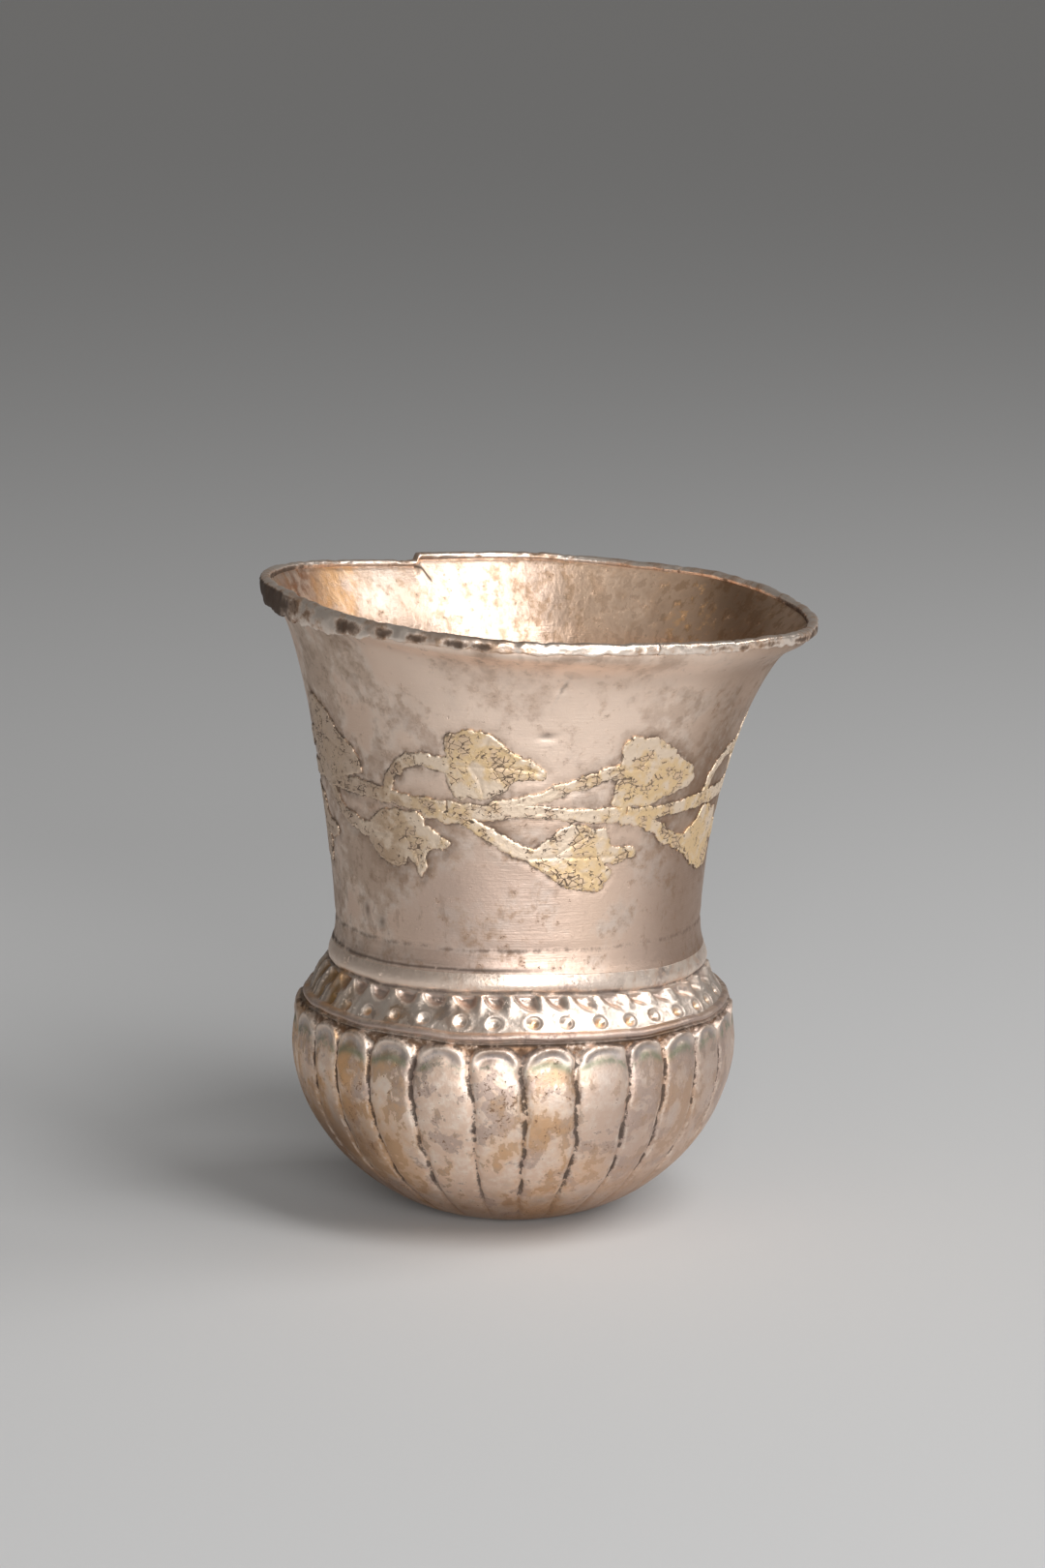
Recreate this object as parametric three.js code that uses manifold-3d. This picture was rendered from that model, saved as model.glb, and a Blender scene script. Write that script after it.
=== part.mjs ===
// A silver beaker: a raised bowl with chased tongues, a flared neck lapped over the bowl's collar,
// a folded strip bound over the rim, and a vine of gold foil laid on the neck.
// Millimetres, +Z up. The origin is the middle of the flat that the beaker stands on.
// The front is -Y, and a turn is an angle in degrees from the front, positive towards +X.
import * as THREE from 'three';
import { mergeVertices } from 'three/addons/utils/BufferGeometryUtils.js';
import Module from 'manifold-3d';

const wasm = await Module();
wasm.setup();

// Heights of the beaker's rings, each counted up from the ring before it
const bowlWidestHeight = 33.4;
const archTopRise = 7.9;
const ridgeRise = 1.7;
const bandRise = 7.3;
const rollRise = 4.0;
const waistRise = 4.5;
const neckMiddleRise = 18.0;
const throatRise = 20.0;
const lipRootRise = 13.5;
const rimRise = 8.0;

// Radii of the same rings, each stepping in or flaring out from the ring before it
const bowlRadius = 42.3;
const archTopInset = 0.8;
const ridgeInset = 1.0;
const bandTopInset = 4.6;
const neckFootInset = 0.8;
const waistInset = 0.3;
const neckMiddleFlare = 2.0;
const throatFlare = 4.4;
const lipRootFlare = 5.2;
const rimFlare = 6.4;

// The sheet, the bowl's foot and its chased ornament
const sheetThickness = 1.0;
const footFlatRadius = 9;
const footFullness = 0.45;
const sideFullness = 0.55;
const tongueCount = 27;
const tongueGrooveDepth = 0.9;
const tongueFirstTurn = 2.6;
const tongueFadeHeight = 9;
const tongueRoundness = 3;
const archRise = 4.0;
const archDepth = 0.8;
const archStepHeight = 0.45;
const ridgeWidth = 1.3;
const ridgeEdgeHeight = 0.4;
const bandFootStep = 0.7;
const bandGrooveDepth = 0.5;
const bandGrooveHeight = 0.3;
const rollProud = 0.3;
const rollFootHeight = 0.8;
const rollShoulderHeight = 1.4;
const lapLength = 4.0;

// The strip folded over the rim
const bindingThickness = 0.9;
const bindingHeight = 2.3;
const bindingInsideHeight = 1.6;
const bindingRounding = 0.5;
const bindingLipHeight = 2.4;
const bindingLipTurn = -72;
const bindingLipSpread = 38;
const bindingLipSlope = 0.25;
const buttJointTurn = 24;
const buttJointGap = 0.4;
const wallEdgeLean = 0.4;

// The gold vine
const vineRepeats = 7;
const vineFirstTurn = -20.8;
const stemAboveNeckMiddle = 7.4;
const stemWidth = 2.3;
const stemWave = 0.5;
const stalkWidth = 1.8;
const foilThickness = 0.4;
const upperLeafHeight = 13.8;
const lowerLeafHeight = 14.3;
const lowerLeafLag = 0.451;

// Clearances between touching pieces
const sheetClearance = 0.3;
const foilClearance = 0.3;

// How use has bent the beaker
const neckShift = 0.9;
const mouthShift = 4.2;
const mouthShiftPower = 2.4;
const mouthTilt = 4.4;
const rimWavePower = 4;
const rimWaves = [
  { rise: 1.8, turn: -58, spread: 28 },
  { rise: -1.2, turn: -142, spread: 32 },
  { rise: 1.1, turn: 128, spread: 34 },
];

// How finely round pieces are divided
const outlineSteps = 240;
const bowlOutsideRings = 7;
const bowlInsideRings = 4;
const stepsPerTongue = 4;
const neckSteps = 60;
const neckRings = 18;
const lipRings = 4;
const bindingSteps = 72;
const solderSteps = 60;
const stemSteps = 12;

// Heights that follow from the driving dimensions
const archTopHeight = bowlWidestHeight + archTopRise;
const ridgeHeight = archTopHeight + ridgeRise;
const bandTopHeight = ridgeHeight + bandRise;
const neckFootHeight = bandTopHeight + rollRise;
const waistHeight = neckFootHeight + waistRise;
const neckMiddleHeight = waistHeight + neckMiddleRise;
const throatHeight = neckMiddleHeight + throatRise;
const lipRootHeight = throatHeight + lipRootRise;
const rimHeight = lipRootHeight + rimRise;
const shoulderHeight = neckFootHeight - sheetClearance;
const collarTopHeight = neckFootHeight + lapLength;
const wallEdgeHeight = rimHeight - bindingThickness - sheetClearance;
const stemHeight = neckMiddleHeight + stemAboveNeckMiddle;

// Radii that follow from the driving dimensions
const archTopRadius = bowlRadius - archTopInset;
const ridgeRadius = archTopRadius - ridgeInset;
const bandTopRadius = ridgeRadius - bandTopInset;
const neckFootRadius = bandTopRadius - neckFootInset;
const waistRadius = neckFootRadius - waistInset;
const neckMiddleRadius = waistRadius + neckMiddleFlare;
const throatRadius = neckMiddleRadius + throatFlare;
const lipRootRadius = throatRadius + lipRootFlare;
const rimRadius = lipRootRadius + rimFlare;
const wallEdgeRadius = rimRadius - bindingThickness - sheetClearance;

const tongueTurn = 360 / tongueCount;
const repeatTurn = 360 / vineRepeats;

const silver = new THREE.MeshStandardMaterial({ color: 0xb9a698, roughness: 0.34, metalness: 0.9 });
const darkSilver = new THREE.MeshStandardMaterial({ color: 0x9c8a7d, roughness: 0.42, metalness: 0.85 });
const solderGrey = new THREE.MeshStandardMaterial({ color: 0x7d746c, roughness: 0.55, metalness: 0.8 });
const gold = new THREE.MeshStandardMaterial({ color: 0xd8bd86, roughness: 0.45, metalness: 0.8 });

const radians = THREE.MathUtils.degToRad;
const smooth = THREE.MathUtils.smoothstep;
const point = (radius, height) => new THREE.Vector2(radius, height);
const turnOf = (at) => THREE.MathUtils.radToDeg(Math.atan2(at.x, -at.y));

// A bump of height 1 at one turn, fading over the spread to either side
function bump(turn, middle, spread) {
  const away = ((turn - middle + 540) % 360) - 180;
  return Math.exp(-((away / spread) ** 2));
}

// Moves a point of the true, round beaker to where use has bent it
function bend(at) {
  const upNeck = Math.max(0, (at.z - waistHeight) / (rimHeight - waistHeight));
  const tilted = -Math.tan(radians(mouthTilt)) * at.x;
  const waved = rimWaves.reduce((sum, wave) => sum + wave.rise * bump(turnOf(at), wave.turn, wave.spread), 0);
  at.z += upNeck * tilted + upNeck ** rimWavePower * waved;
  at.x += neckShift * smooth(at.z, bandTopHeight, waistHeight) + mouthShift * upNeck ** mouthShiftPower;
}

// Applies one change to every vertex of a geometry, and tells it the vertex's number
function reshape(geometry, change) {
  const places = geometry.attributes.position;
  const at = new THREE.Vector3();
  for (let index = 0; index < places.count; index += 1) {
    at.fromBufferAttribute(places, index);
    change(at, index);
    places.setXYZ(index, at.x, at.y, at.z);
  }
}

// Turns a closed profile about +Z, with the first column at the front
function turned(profile, steps) {
  return new THREE.LatheGeometry(profile, steps).rotateX(Math.PI / 2);
}

// Bends a finished geometry and makes it a named piece
function piece(name, geometry, material) {
  reshape(geometry, bend);
  geometry.computeVertexNormals();
  const mesh = new THREE.Mesh(geometry, material);
  mesh.name = name;
  return mesh;
}

// The neck's outside, as a curve from its foot to the upright edge inside the binding
const neckCurve = new THREE.SplineCurve([
  point(neckFootRadius, neckFootHeight),
  point(waistRadius, waistHeight),
  point(neckMiddleRadius, neckMiddleHeight),
  point(throatRadius, throatHeight),
  point(lipRootRadius, lipRootHeight),
  point(wallEdgeRadius - wallEdgeLean, wallEdgeHeight - bindingHeight),
  point(wallEdgeRadius, wallEdgeHeight),
]);
const neckOutline = neckCurve.getPoints(outlineSteps);

// The neck's outside radius at a height, before it is bent
function neckRadius(height) {
  const above = Math.max(1, neckOutline.findIndex((at) => at.y >= height));
  const low = neckOutline[above - 1];
  const high = neckOutline[above];
  return low.x + ((high.x - low.x) * (height - low.y)) / (high.y - low.y);
}

// A bowl outline from the edge of its flat to its widest ring
function bowlOutline(widestRadius, bottomHeight, rings) {
  const reach = widestRadius - footFlatRadius;
  const rise = bowlWidestHeight - bottomHeight;
  return new THREE.CubicBezierCurve(
    point(footFlatRadius, bottomHeight),
    point(footFlatRadius + footFullness * reach, bottomHeight),
    point(widestRadius, bowlWidestHeight - sideFullness * rise),
    point(widestRadius, bowlWidestHeight),
  ).getPoints(rings);
}

// How far a turn is from the middle of its tongue: 0 there, and 1 at the grooves beside it
function fromTongueMiddle(turn) {
  const share = THREE.MathUtils.euclideanModulo(turn / tongueTurn, 1);
  return Math.abs(2 * share - 1);
}

// The raised bowl: flat foot, tongues, arches, ridge, sloping band, roll and collar
function bowl() {
  const ridgeLow = ridgeHeight - ridgeWidth / 2;
  const ridgeHigh = ridgeHeight + ridgeWidth / 2;
  const archBackRadius = archTopRadius - archDepth;
  const bandFootRadius = ridgeRadius - bandFootStep;
  const rollFoot = bandTopHeight + bandGrooveHeight;
  const grooveRadius = bandTopRadius - bandGrooveDepth;
  const rollRadius = grooveRadius + rollProud;
  const lap = neckOutline.filter((at) => at.y <= collarTopHeight).map((at) => at.x);
  const collarRadius = Math.min(...lap) - sheetThickness - sheetClearance;
  const collarInside = collarRadius - sheetThickness;
  const innerRadius = bowlRadius - tongueGrooveDepth - sheetThickness;
  const tongues = [
    point(0, 0),
    ...bowlOutline(bowlRadius, 0, bowlOutsideRings),
    point(bowlRadius - archTopInset / 3, (bowlWidestHeight + archTopHeight - archRise) / 2),
    point(archTopRadius, archTopHeight - archStepHeight / 2),
  ];
  const aboveTongues = [
    point(archBackRadius, archTopHeight + archStepHeight / 2),
    point(archBackRadius, ridgeLow - ridgeEdgeHeight / 2),
    point(ridgeRadius, ridgeLow + ridgeEdgeHeight / 2),
    point(ridgeRadius, ridgeHigh - ridgeEdgeHeight / 2),
    point(bandFootRadius, ridgeHigh + ridgeEdgeHeight / 2),
    point(bandTopRadius, bandTopHeight),
    point(grooveRadius, rollFoot),
    point(rollRadius, rollFoot + rollFootHeight),
    point(rollRadius, shoulderHeight - rollShoulderHeight),
    point(neckFootRadius, shoulderHeight),
    point(collarRadius, shoulderHeight),
    point(collarRadius, collarTopHeight),
  ];
  const inside = [
    point(collarInside, collarTopHeight),
    point(collarInside, shoulderHeight - sheetThickness),
    point(grooveRadius - sheetThickness, bandTopHeight - sheetThickness),
    point(bandFootRadius - sheetThickness, ridgeHeight - sheetThickness / 2),
    point(archBackRadius - tongueGrooveDepth - sheetThickness, archTopHeight - archRise),
    ...bowlOutline(innerRadius, sheetThickness, bowlInsideRings).reverse(),
    point(0, sheetThickness),
  ];
  const profile = [...tongues, ...aboveTongues, ...inside];
  const shell = turned(profile, tongueCount * stepsPerTongue);
  reshape(shell, (at, index) => {
    const ring = index % profile.length;
    const fromMiddle = fromTongueMiddle(turnOf(at));
    if (ring > 0 && ring < tongues.length) {
      const radius = Math.hypot(at.x, at.y);
      const depth = tongueGrooveDepth * smooth(at.z, 0, tongueFadeHeight) * fromMiddle ** tongueRoundness;
      at.x *= (radius - depth) / radius;
      at.y *= (radius - depth) / radius;
    }
    const drawsArch = ring === tongues.length - 1 || ring === tongues.length;
    if (drawsArch) at.z -= archRise * (1 - Math.sqrt(Math.max(0, 1 - fromMiddle ** 2)));
  });
  return piece('bowl', shell.rotateZ(radians(tongueFirstTurn)), silver);
}

// The flared wall, lapped over the bowl's collar
function neck() {
  const outside = neckCurve.getSpacedPoints(neckRings);
  const inside = outside.map((at, ring) => {
    const along = neckCurve.getTangentAt(ring / neckRings);
    return point(at.x - along.y * sheetThickness, at.y + along.x * sheetThickness);
  }).filter((at, ring) => ring % 2 === 0 || ring > neckRings - lipRings);
  inside[inside.length - 1].y = wallEdgeHeight;
  inside[0].y = neckFootHeight;
  const profile = [...outside, ...inside.reverse(), outside[0].clone()];
  return piece('neck', turned(profile, neckSteps), silver);
}

// The bead of solder in the corner between the collar's top and the neck's inside
function neckSeamSolder() {
  const outerRadius = neckRadius(collarTopHeight) - sheetThickness - sheetClearance;
  const foot = collarTopHeight + sheetClearance;
  const profile = [
    point(outerRadius - sheetThickness, foot),
    point(outerRadius, foot),
    point(outerRadius, foot + sheetThickness),
    point(outerRadius - sheetThickness, foot),
  ];
  return piece('neck_seam_solder', turned(profile, solderSteps), solderGrey);
}

function solidOf(geometry) {
  const bare = geometry.clone();
  bare.deleteAttribute('normal');
  bare.deleteAttribute('uv');
  const merged = mergeVertices(bare, 1e-4);
  return new wasm.Manifold(new wasm.Mesh({
    numProp: 3,
    vertProperties: new Float32Array(merged.attributes.position.array),
    triVerts: new Uint32Array(merged.index.array),
  }));
}

function geometryOf(solid) {
  const mesh = solid.getMesh();
  const geometry = new THREE.BufferGeometry();
  geometry.setAttribute('position', new THREE.BufferAttribute(new Float32Array(mesh.vertProperties), 3));
  geometry.setIndex(new THREE.BufferAttribute(new Uint32Array(mesh.triVerts), 1));
  return geometry;
}

// The strip folded over the wall's edge, open at its butt joint and deeper at the left of the mouth
function rimBinding() {
  const wallOuter = wallEdgeRadius + sheetClearance;
  const wallInner = wallEdgeRadius - sheetThickness - sheetClearance;
  const inner = wallInner - bindingThickness;
  const skirtFoot = rimHeight - bindingHeight;
  const profile = [
    point(wallOuter, skirtFoot),
    point(rimRadius, skirtFoot),
    point(rimRadius, rimHeight - bindingRounding),
    point(rimRadius - bindingRounding, rimHeight),
    point(inner + bindingRounding, rimHeight),
    point(inner, rimHeight - bindingRounding),
    point(inner, rimHeight - bindingInsideHeight),
    point(wallInner, rimHeight - bindingInsideHeight),
    point(wallInner, rimHeight - bindingThickness),
    point(wallOuter, rimHeight - bindingThickness),
    point(wallOuter, skirtFoot),
  ];
  const slot = new THREE.BoxGeometry(buttJointGap, 2 * rimRadius, 4 * bindingHeight);
  slot.translate(0, -rimRadius, rimHeight);
  slot.rotateZ(radians(buttJointTurn));
  const strip = geometryOf(solidOf(turned(profile, bindingSteps)).subtract(solidOf(slot)));
  const halfwayUpSkirt = skirtFoot + (bindingHeight - bindingInsideHeight) / 2;
  reshape(strip, (at) => {
    if (at.z > halfwayUpSkirt) return;
    const drop = bindingLipHeight * bump(turnOf(at), bindingLipTurn, bindingLipSpread);
    const scale = 1 - (bindingLipSlope * drop) / Math.hypot(at.x, at.y);
    at.set(at.x * scale, at.y * scale, at.z - drop);
  });
  return piece('rim_binding', strip, darkSilver);
}

// A piece of foil laid on the neck. Each station gives how far along the vine's repeat it is,
// and the foil's top and bottom heights there.
function foil(name, startTurn, stations) {
  const last = stations.length - 1;
  const sheet = new THREE.BoxGeometry(1, 1, 1, last, 2, 1);
  reshape(sheet, (at) => {
    const { along, top, bottom } = stations[Math.round((at.x + 0.5) * last)];
    const height = THREE.MathUtils.lerp(bottom, top, at.y + 0.5);
    const radius = neckRadius(height) + foilClearance + (at.z + 0.5) * foilThickness;
    const turn = radians(startTurn + along * repeatTurn);
    at.set(radius * Math.sin(turn), -radius * Math.cos(turn), height);
  });
  return piece(name, sheet, gold);
}

// Stations of a strip of even width, from how far along and how high its middle line runs
function strip(route, width) {
  return route.map(([along, middle]) => ({ along, top: middle + width / 2, bottom: middle - width / 2 }));
}

// Stations of a blade, from how far along it is and its top and bottom heights
function blade(route) {
  return route.map(([along, top, bottom]) => ({ along, top, bottom }));
}

// One length of the main stem, from one repeat to the next
function stemLength(index) {
  const gap = THREE.MathUtils.radToDeg(foilClearance / neckRadius(stemHeight)) / repeatTurn;
  const route = Array.from({ length: stemSteps + 1 }, (unused, step) => {
    const share = step / stemSteps;
    return [share * (1 - gap), stemHeight + stemWave * Math.sin(2 * Math.PI * share)];
  });
  return foil(`vine_stem_${index + 1}`, vineFirstTurn + index * repeatTurn, strip(route, stemWidth));
}

// How far a leaf piece's own line stays from the stem's middle line
const stemReach = stemWidth / 2 + stemWave + foilClearance;

// A leaf above the stem, on a stalk that curls up from it
function upperLeaf(index) {
  const line = stemHeight + stemReach;
  const up = (share) => line + share * upperLeafHeight;
  const stalk = strip([
    [-0.397, line + stalkWidth / 2],
    [-0.34, up(0.188)],
    [-0.263, up(0.391)],
    [-0.136, up(0.478)],
    [-0.019, up(0.471)],
  ], stalkWidth);
  const leaf = blade([
    [0, up(0.783), up(0.174)],
    [0.039, up(0.957), up(0.058)],
    [0.117, up(1), up(0)],
    [0.214, up(0.971), up(0)],
    [0.301, up(0.826), up(0.116)],
    [0.399, up(0.638), up(0.261)],
    [0.467, up(0.522), up(0.319)],
    [0.525, up(0.428), up(0.384)],
  ]);
  return foil(`upper_leaf_${index + 1}`, vineFirstTurn + index * repeatTurn, [...stalk, ...leaf]);
}

// A lobed leaf below the stem, on a stalk that falls away from it
function lowerLeaf(index) {
  const line = stemHeight - stemReach;
  const down = (share) => line - share * lowerLeafHeight;
  const stalk = strip([
    [-0.467, line - stalkWidth / 2],
    [-0.369, down(0.077)],
    [-0.272, down(0.168)],
    [-0.136, down(0.336)],
    [-0.01, down(0.476)],
  ], stalkWidth);
  const leaf = blade([
    [0.019, down(0.378), down(0.587)],
    [0.097, down(0.252), down(0.741)],
    [0.175, down(0.154), down(0.867)],
    [0.253, down(0.042), down(0.937)],
    [0.35, down(0.084), down(0.986)],
    [0.437, down(0.168), down(1)],
    [0.486, down(0.378), down(0.741)],
    [0.564, down(0.413), down(0.615)],
    [0.651, down(0.49), down(0.531)],
  ]);
  const startTurn = vineFirstTurn + (index + lowerLeafLag) * repeatTurn;
  return foil(`lower_leaf_${index + 1}`, startTurn, [...stalk, ...leaf]);
}

const beaker = new THREE.Group();
beaker.add(bowl(), neck(), neckSeamSolder(), rimBinding());
for (let index = 0; index < vineRepeats; index += 1) {
  beaker.add(stemLength(index), upperLeaf(index), lowerLeaf(index));
}

export default beaker;
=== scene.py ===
"""The silver beaker's looks: a chased bowl, a hammered neck, a folded rim and a vine of gold foil."""
import math
import bmesh
import bpy
import numpy as np
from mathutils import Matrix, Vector


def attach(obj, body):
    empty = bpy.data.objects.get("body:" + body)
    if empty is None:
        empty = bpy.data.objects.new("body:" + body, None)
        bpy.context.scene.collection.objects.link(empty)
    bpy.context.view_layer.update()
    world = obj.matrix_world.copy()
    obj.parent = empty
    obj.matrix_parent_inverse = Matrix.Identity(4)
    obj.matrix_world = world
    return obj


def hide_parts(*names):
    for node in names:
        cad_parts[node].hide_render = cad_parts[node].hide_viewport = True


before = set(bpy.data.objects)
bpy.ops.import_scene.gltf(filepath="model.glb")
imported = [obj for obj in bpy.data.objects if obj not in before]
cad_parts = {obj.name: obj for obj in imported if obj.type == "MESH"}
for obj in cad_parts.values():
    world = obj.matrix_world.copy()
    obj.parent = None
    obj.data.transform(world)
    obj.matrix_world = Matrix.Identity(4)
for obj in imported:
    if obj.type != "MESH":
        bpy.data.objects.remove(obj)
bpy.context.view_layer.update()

# Sizes in millimetres, as in the solids. A turn is in degrees from the front, and grows to the right
MM = 0.001
BOWL_RADIUS, WIDEST = 42.3, 33.4
ARCH_TOP_RADIUS, ARCH_TOP = 41.5, 41.3
RIDGE = 43.0
BAND_TOP_RADIUS, BAND_TOP = 35.9, 50.3
NECK_FOOT_RADIUS, NECK_FOOT = 35.1, 54.3
WAIST, RIM = 58.8, 118.3
RIM_RADIUS, WALL_EDGE_RADIUS, WALL_EDGE = 52.8, 51.6, 117.1
SHEET, FLAT_RADIUS, BOWL_INSIDE, THROAT_RADIUS = 1.0, 9.0, 40.4, 32.4
COLLAR_RADIUS, COLLAR_TOP = 33.4, 58.3
BEAD_RADIUS, BEAD = 33.35, 0.5
STEM_HEIGHT, STEM_WIDTH = 84.2, 2.3
TONGUES, OVOLOS, REPEATS = 27, 38, 7
TONGUE_TURN, OVOLO_TURN, REPEAT_TURN = 360 / TONGUES, 360 / OVOLOS, 360 / REPEATS
ARCH_RISE, ARCH_SPRING = 4.0, 37.3
TONGUE_HALF, TONGUE_DRIFT, TONGUE_RIPPLE = 4.5, 4.2, 1.6
OVOLO_WIDTH, OVOLO_PHASE, BAND_FOOT, BAND_SLOPE = 6.4, 0.66, 43.85, 1.19
DOT_ACROSS, DOT_UP = 0.85, 1.5
OVAL_PHASE, OVAL_MIDDLE, OVAL_TOP, OVAL_HALF, OVAL_DROP = 0.27, 6.5, 7.8, 2.45, 3.3
TORN_SIDE = (-34.0, -27.0)
VINE_FIRST_TURN, LOWER_LAG = -20.8, 0.451
FOIL_PROUD, FOIL_SUNK, FOIL_STEP, FOIL_SNAP = 0.06, 0.22, 0.28, 0.154
FAR_FROM_VINE, NO_VEIN = 4.0, 9.0
SETTLE_FOOT, RIDGE_FOOT, ROLL_TOP, SETTLE_TOP = 38.5, 42.6, 54.6, 61.0
JOINT_TURN, JOINT_GAP = 24.0, 0.3
NECK_SHIFT, MOUTH_SHIFT, MOUTH_POWER, MOUTH_TILT = 0.9, 4.2, 2.4, 4.4
SHIFT_FOOT, SHIFT_TOP = 44.0, 54.0
FLARE_START, FLARE_RADIUS = 105.0, 50.5
COLUMNS, STRIP_COLUMNS = 540, 1000
CHART_HEIGHT = 100.0

# Millimetres of flat foil for each radian round the neck
FLAT_SCALE = 37.5

# How use has bent the mouth: how far it rises, at which turn, and how wide the wave is
RIM_WAVES = ((1.8, -58, 28), (-1.2, -142, 32), (1.1, 128, 34))

# A turn, and how much lower the ridge and the roll have settled there
SETTLING = ((-180, 0.3, 1.5), (-90, 0.1, 1.5), (-60, 0.0, 1.5), (-50, 0.15, 1.45), (-40, 0.0, 1.35),
            (-30, -0.1, 1.2), (-20, 0.2, 1.05), (-10, 0.6, 0.9), (0, 0.5, 0.9), (10, 0.5, 1.0),
            (20, 0.8, 1.4), (30, 1.15, 1.7), (40, 1.1, 2.1), (50, 1.0, 2.5), (60, 1.5, 2.6),
            (70, 1.6, 2.6), (100, 1.3, 2.4), (140, 0.6, 1.8), (180, 0.3, 1.5))

# A turn, and how much higher the mouth's edge stands there than its plain wave
RIM_LIFTS = ((-180, 0.45), (-161, 0.2), (-152.2, 0.2), (-151.8, -1.15), (-135, -0.6), (-117, 0.0),
             (-88, 0.0), (-68, -0.4), (-47, -1.2), (-39, -0.9), (-23, -0.6), (-10, -0.4), (0, -0.15),
             (9, 0.25), (25, 0.75), (41, 0.7), (53, 0.7), (72, -0.2), (92, -0.6), (109, -0.7),
             (117, -0.4), (128, -0.1), (142, 0.2), (158, -0.1), (180, 0.45))

# A turn, and how far the strip's lower edge has peeled down there
PEELING = ((-110, 0.0), (-95, 0.3), (-82, 1.2), (-70, 2.0), (-60, 2.1), (-44, 1.5), (-29, 0.25),
           (-13, 0.0))
MOST_PEELED = 2.1


# Sockets and trees
class Value:
    """A node's output. What is done to it adds nodes to its tree."""

    def __init__(self, graph, socket):
        self.graph = graph
        self.socket = socket

    def math(self, operation, *terms):
        return self.graph.node("ShaderNodeMath", {"operation": operation}, (self, *terms))

    def __add__(self, other):
        return self.math("ADD", other)

    def __sub__(self, other):
        return self.math("SUBTRACT", other)

    def __rsub__(self, other):
        return self.graph.node("ShaderNodeMath", {"operation": "SUBTRACT"}, (other, self))

    def __mul__(self, other):
        return self.math("MULTIPLY", other)

    def __truediv__(self, other):
        return self.math("DIVIDE", other)

    def __pow__(self, other):
        return self.math("POWER", other)

    __radd__ = __add__
    __rmul__ = __mul__

    def most(self, *others):
        """The greatest of this and the others."""
        greatest = self
        for other in others:
            greatest = greatest.math("MAXIMUM", other)
        return greatest

    def rise(self, low, high):
        """0 below low and 1 above high, eased between them."""
        settings = {"interpolation_type": "SMOOTHSTEP"}
        return self.graph.node("ShaderNodeMapRange", settings, (self, low, high, 0.0, 1.0))

    def fall(self, low, high):
        """1 below low and 0 above high, eased between them."""
        return 1.0 - self.rise(low, high)

    def near(self, middle, spread):
        """1 at the middle, fading over the spread to either side."""
        away = (self - middle) / spread
        return (away * away * -1.0).math("EXPONENT")

    def reach(self, up):
        """The straight distance to a point this far across and so far up."""
        return (self * self + up * up).math("SQRT")

    def chance(self):
        """A number from 0 to 1 for each whole number."""
        return self.graph.node("ShaderNodeTexWhiteNoise", {"noise_dimensions": "1D"}, {"W": self})

    def noise(self, scale, detail=4.0, roughness=0.55):
        inputs = {"Vector": self, "Scale": scale, "Detail": detail, "Roughness": roughness}
        return self.graph.node("ShaderNodeTexNoise", {}, inputs)

    def stretched(self, *scale):
        return self.graph.node("ShaderNodeVectorMath", {"operation": "MULTIPLY"}, (self, scale))

    def part(self, axis):
        return self.graph.node("ShaderNodeSeparateXYZ", {}, (self,), axis)

    def east(self):
        """How far to the right of the axis a place is, in millimetres."""
        return self.part(0) * 1000.0


class Graph:
    """A node tree that nodes are added to."""

    def __init__(self, tree):
        self.tree = tree

    def node(self, kind, settings=None, inputs=(), output=0):
        made = self.tree.nodes.new(kind)
        for name, value in (settings or {}).items():
            setattr(made, name, value)
        named = inputs.items() if isinstance(inputs, dict) else enumerate(inputs)
        for name, value in named:
            if isinstance(value, Value):
                self.tree.links.new(value.socket, made.inputs[name])
            else:
                made.inputs[name].default_value = value
        return Value(self, made.outputs[output]) if len(made.outputs) else None


class Coat:
    """A ground colour and the colours laid over it, each as strongly as its mask says."""

    def __init__(self, graph, ground):
        self.graph = graph
        self.colour = ground

    def lay(self, mask, colour):
        inputs = {0: mask, 6: self.colour, 7: colour}
        self.colour = self.graph.node("ShaderNodeMix", {"data_type": "RGBA"}, inputs, 2)


# The rules of the chased ornament, which the trees of the bowl and its finish share
def tongue_fields(place, turn, height):
    """Where a point is among the tongues.

    Gives 0 in the middle of a tongue and 1 in the grooves beside it, the tongue's number, and how far
    inside its outline the point is, in millimetres.
    """
    drift = (place.noise(95.0, 2.0) - 0.5) * TONGUE_DRIFT
    drift = drift + (place.noise(330.0, 2.0) - 0.5) * TONGUE_RIPPLE
    count = (turn + drift) / TONGUE_TURN
    across = (2.0 * count.math("FRACT") - 1.0).math("ABSOLUTE")
    above = ((height - ARCH_SPRING) / ARCH_RISE).most(0.0)
    uneven = (place.noise(240.0, 2.0) - 0.5) * 0.9 * height.rise(36.0, 38.0)
    inset = (1.0 - across.reach(above)) * TONGUE_HALF + uneven
    return across, count.math("FLOOR"), inset


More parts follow.
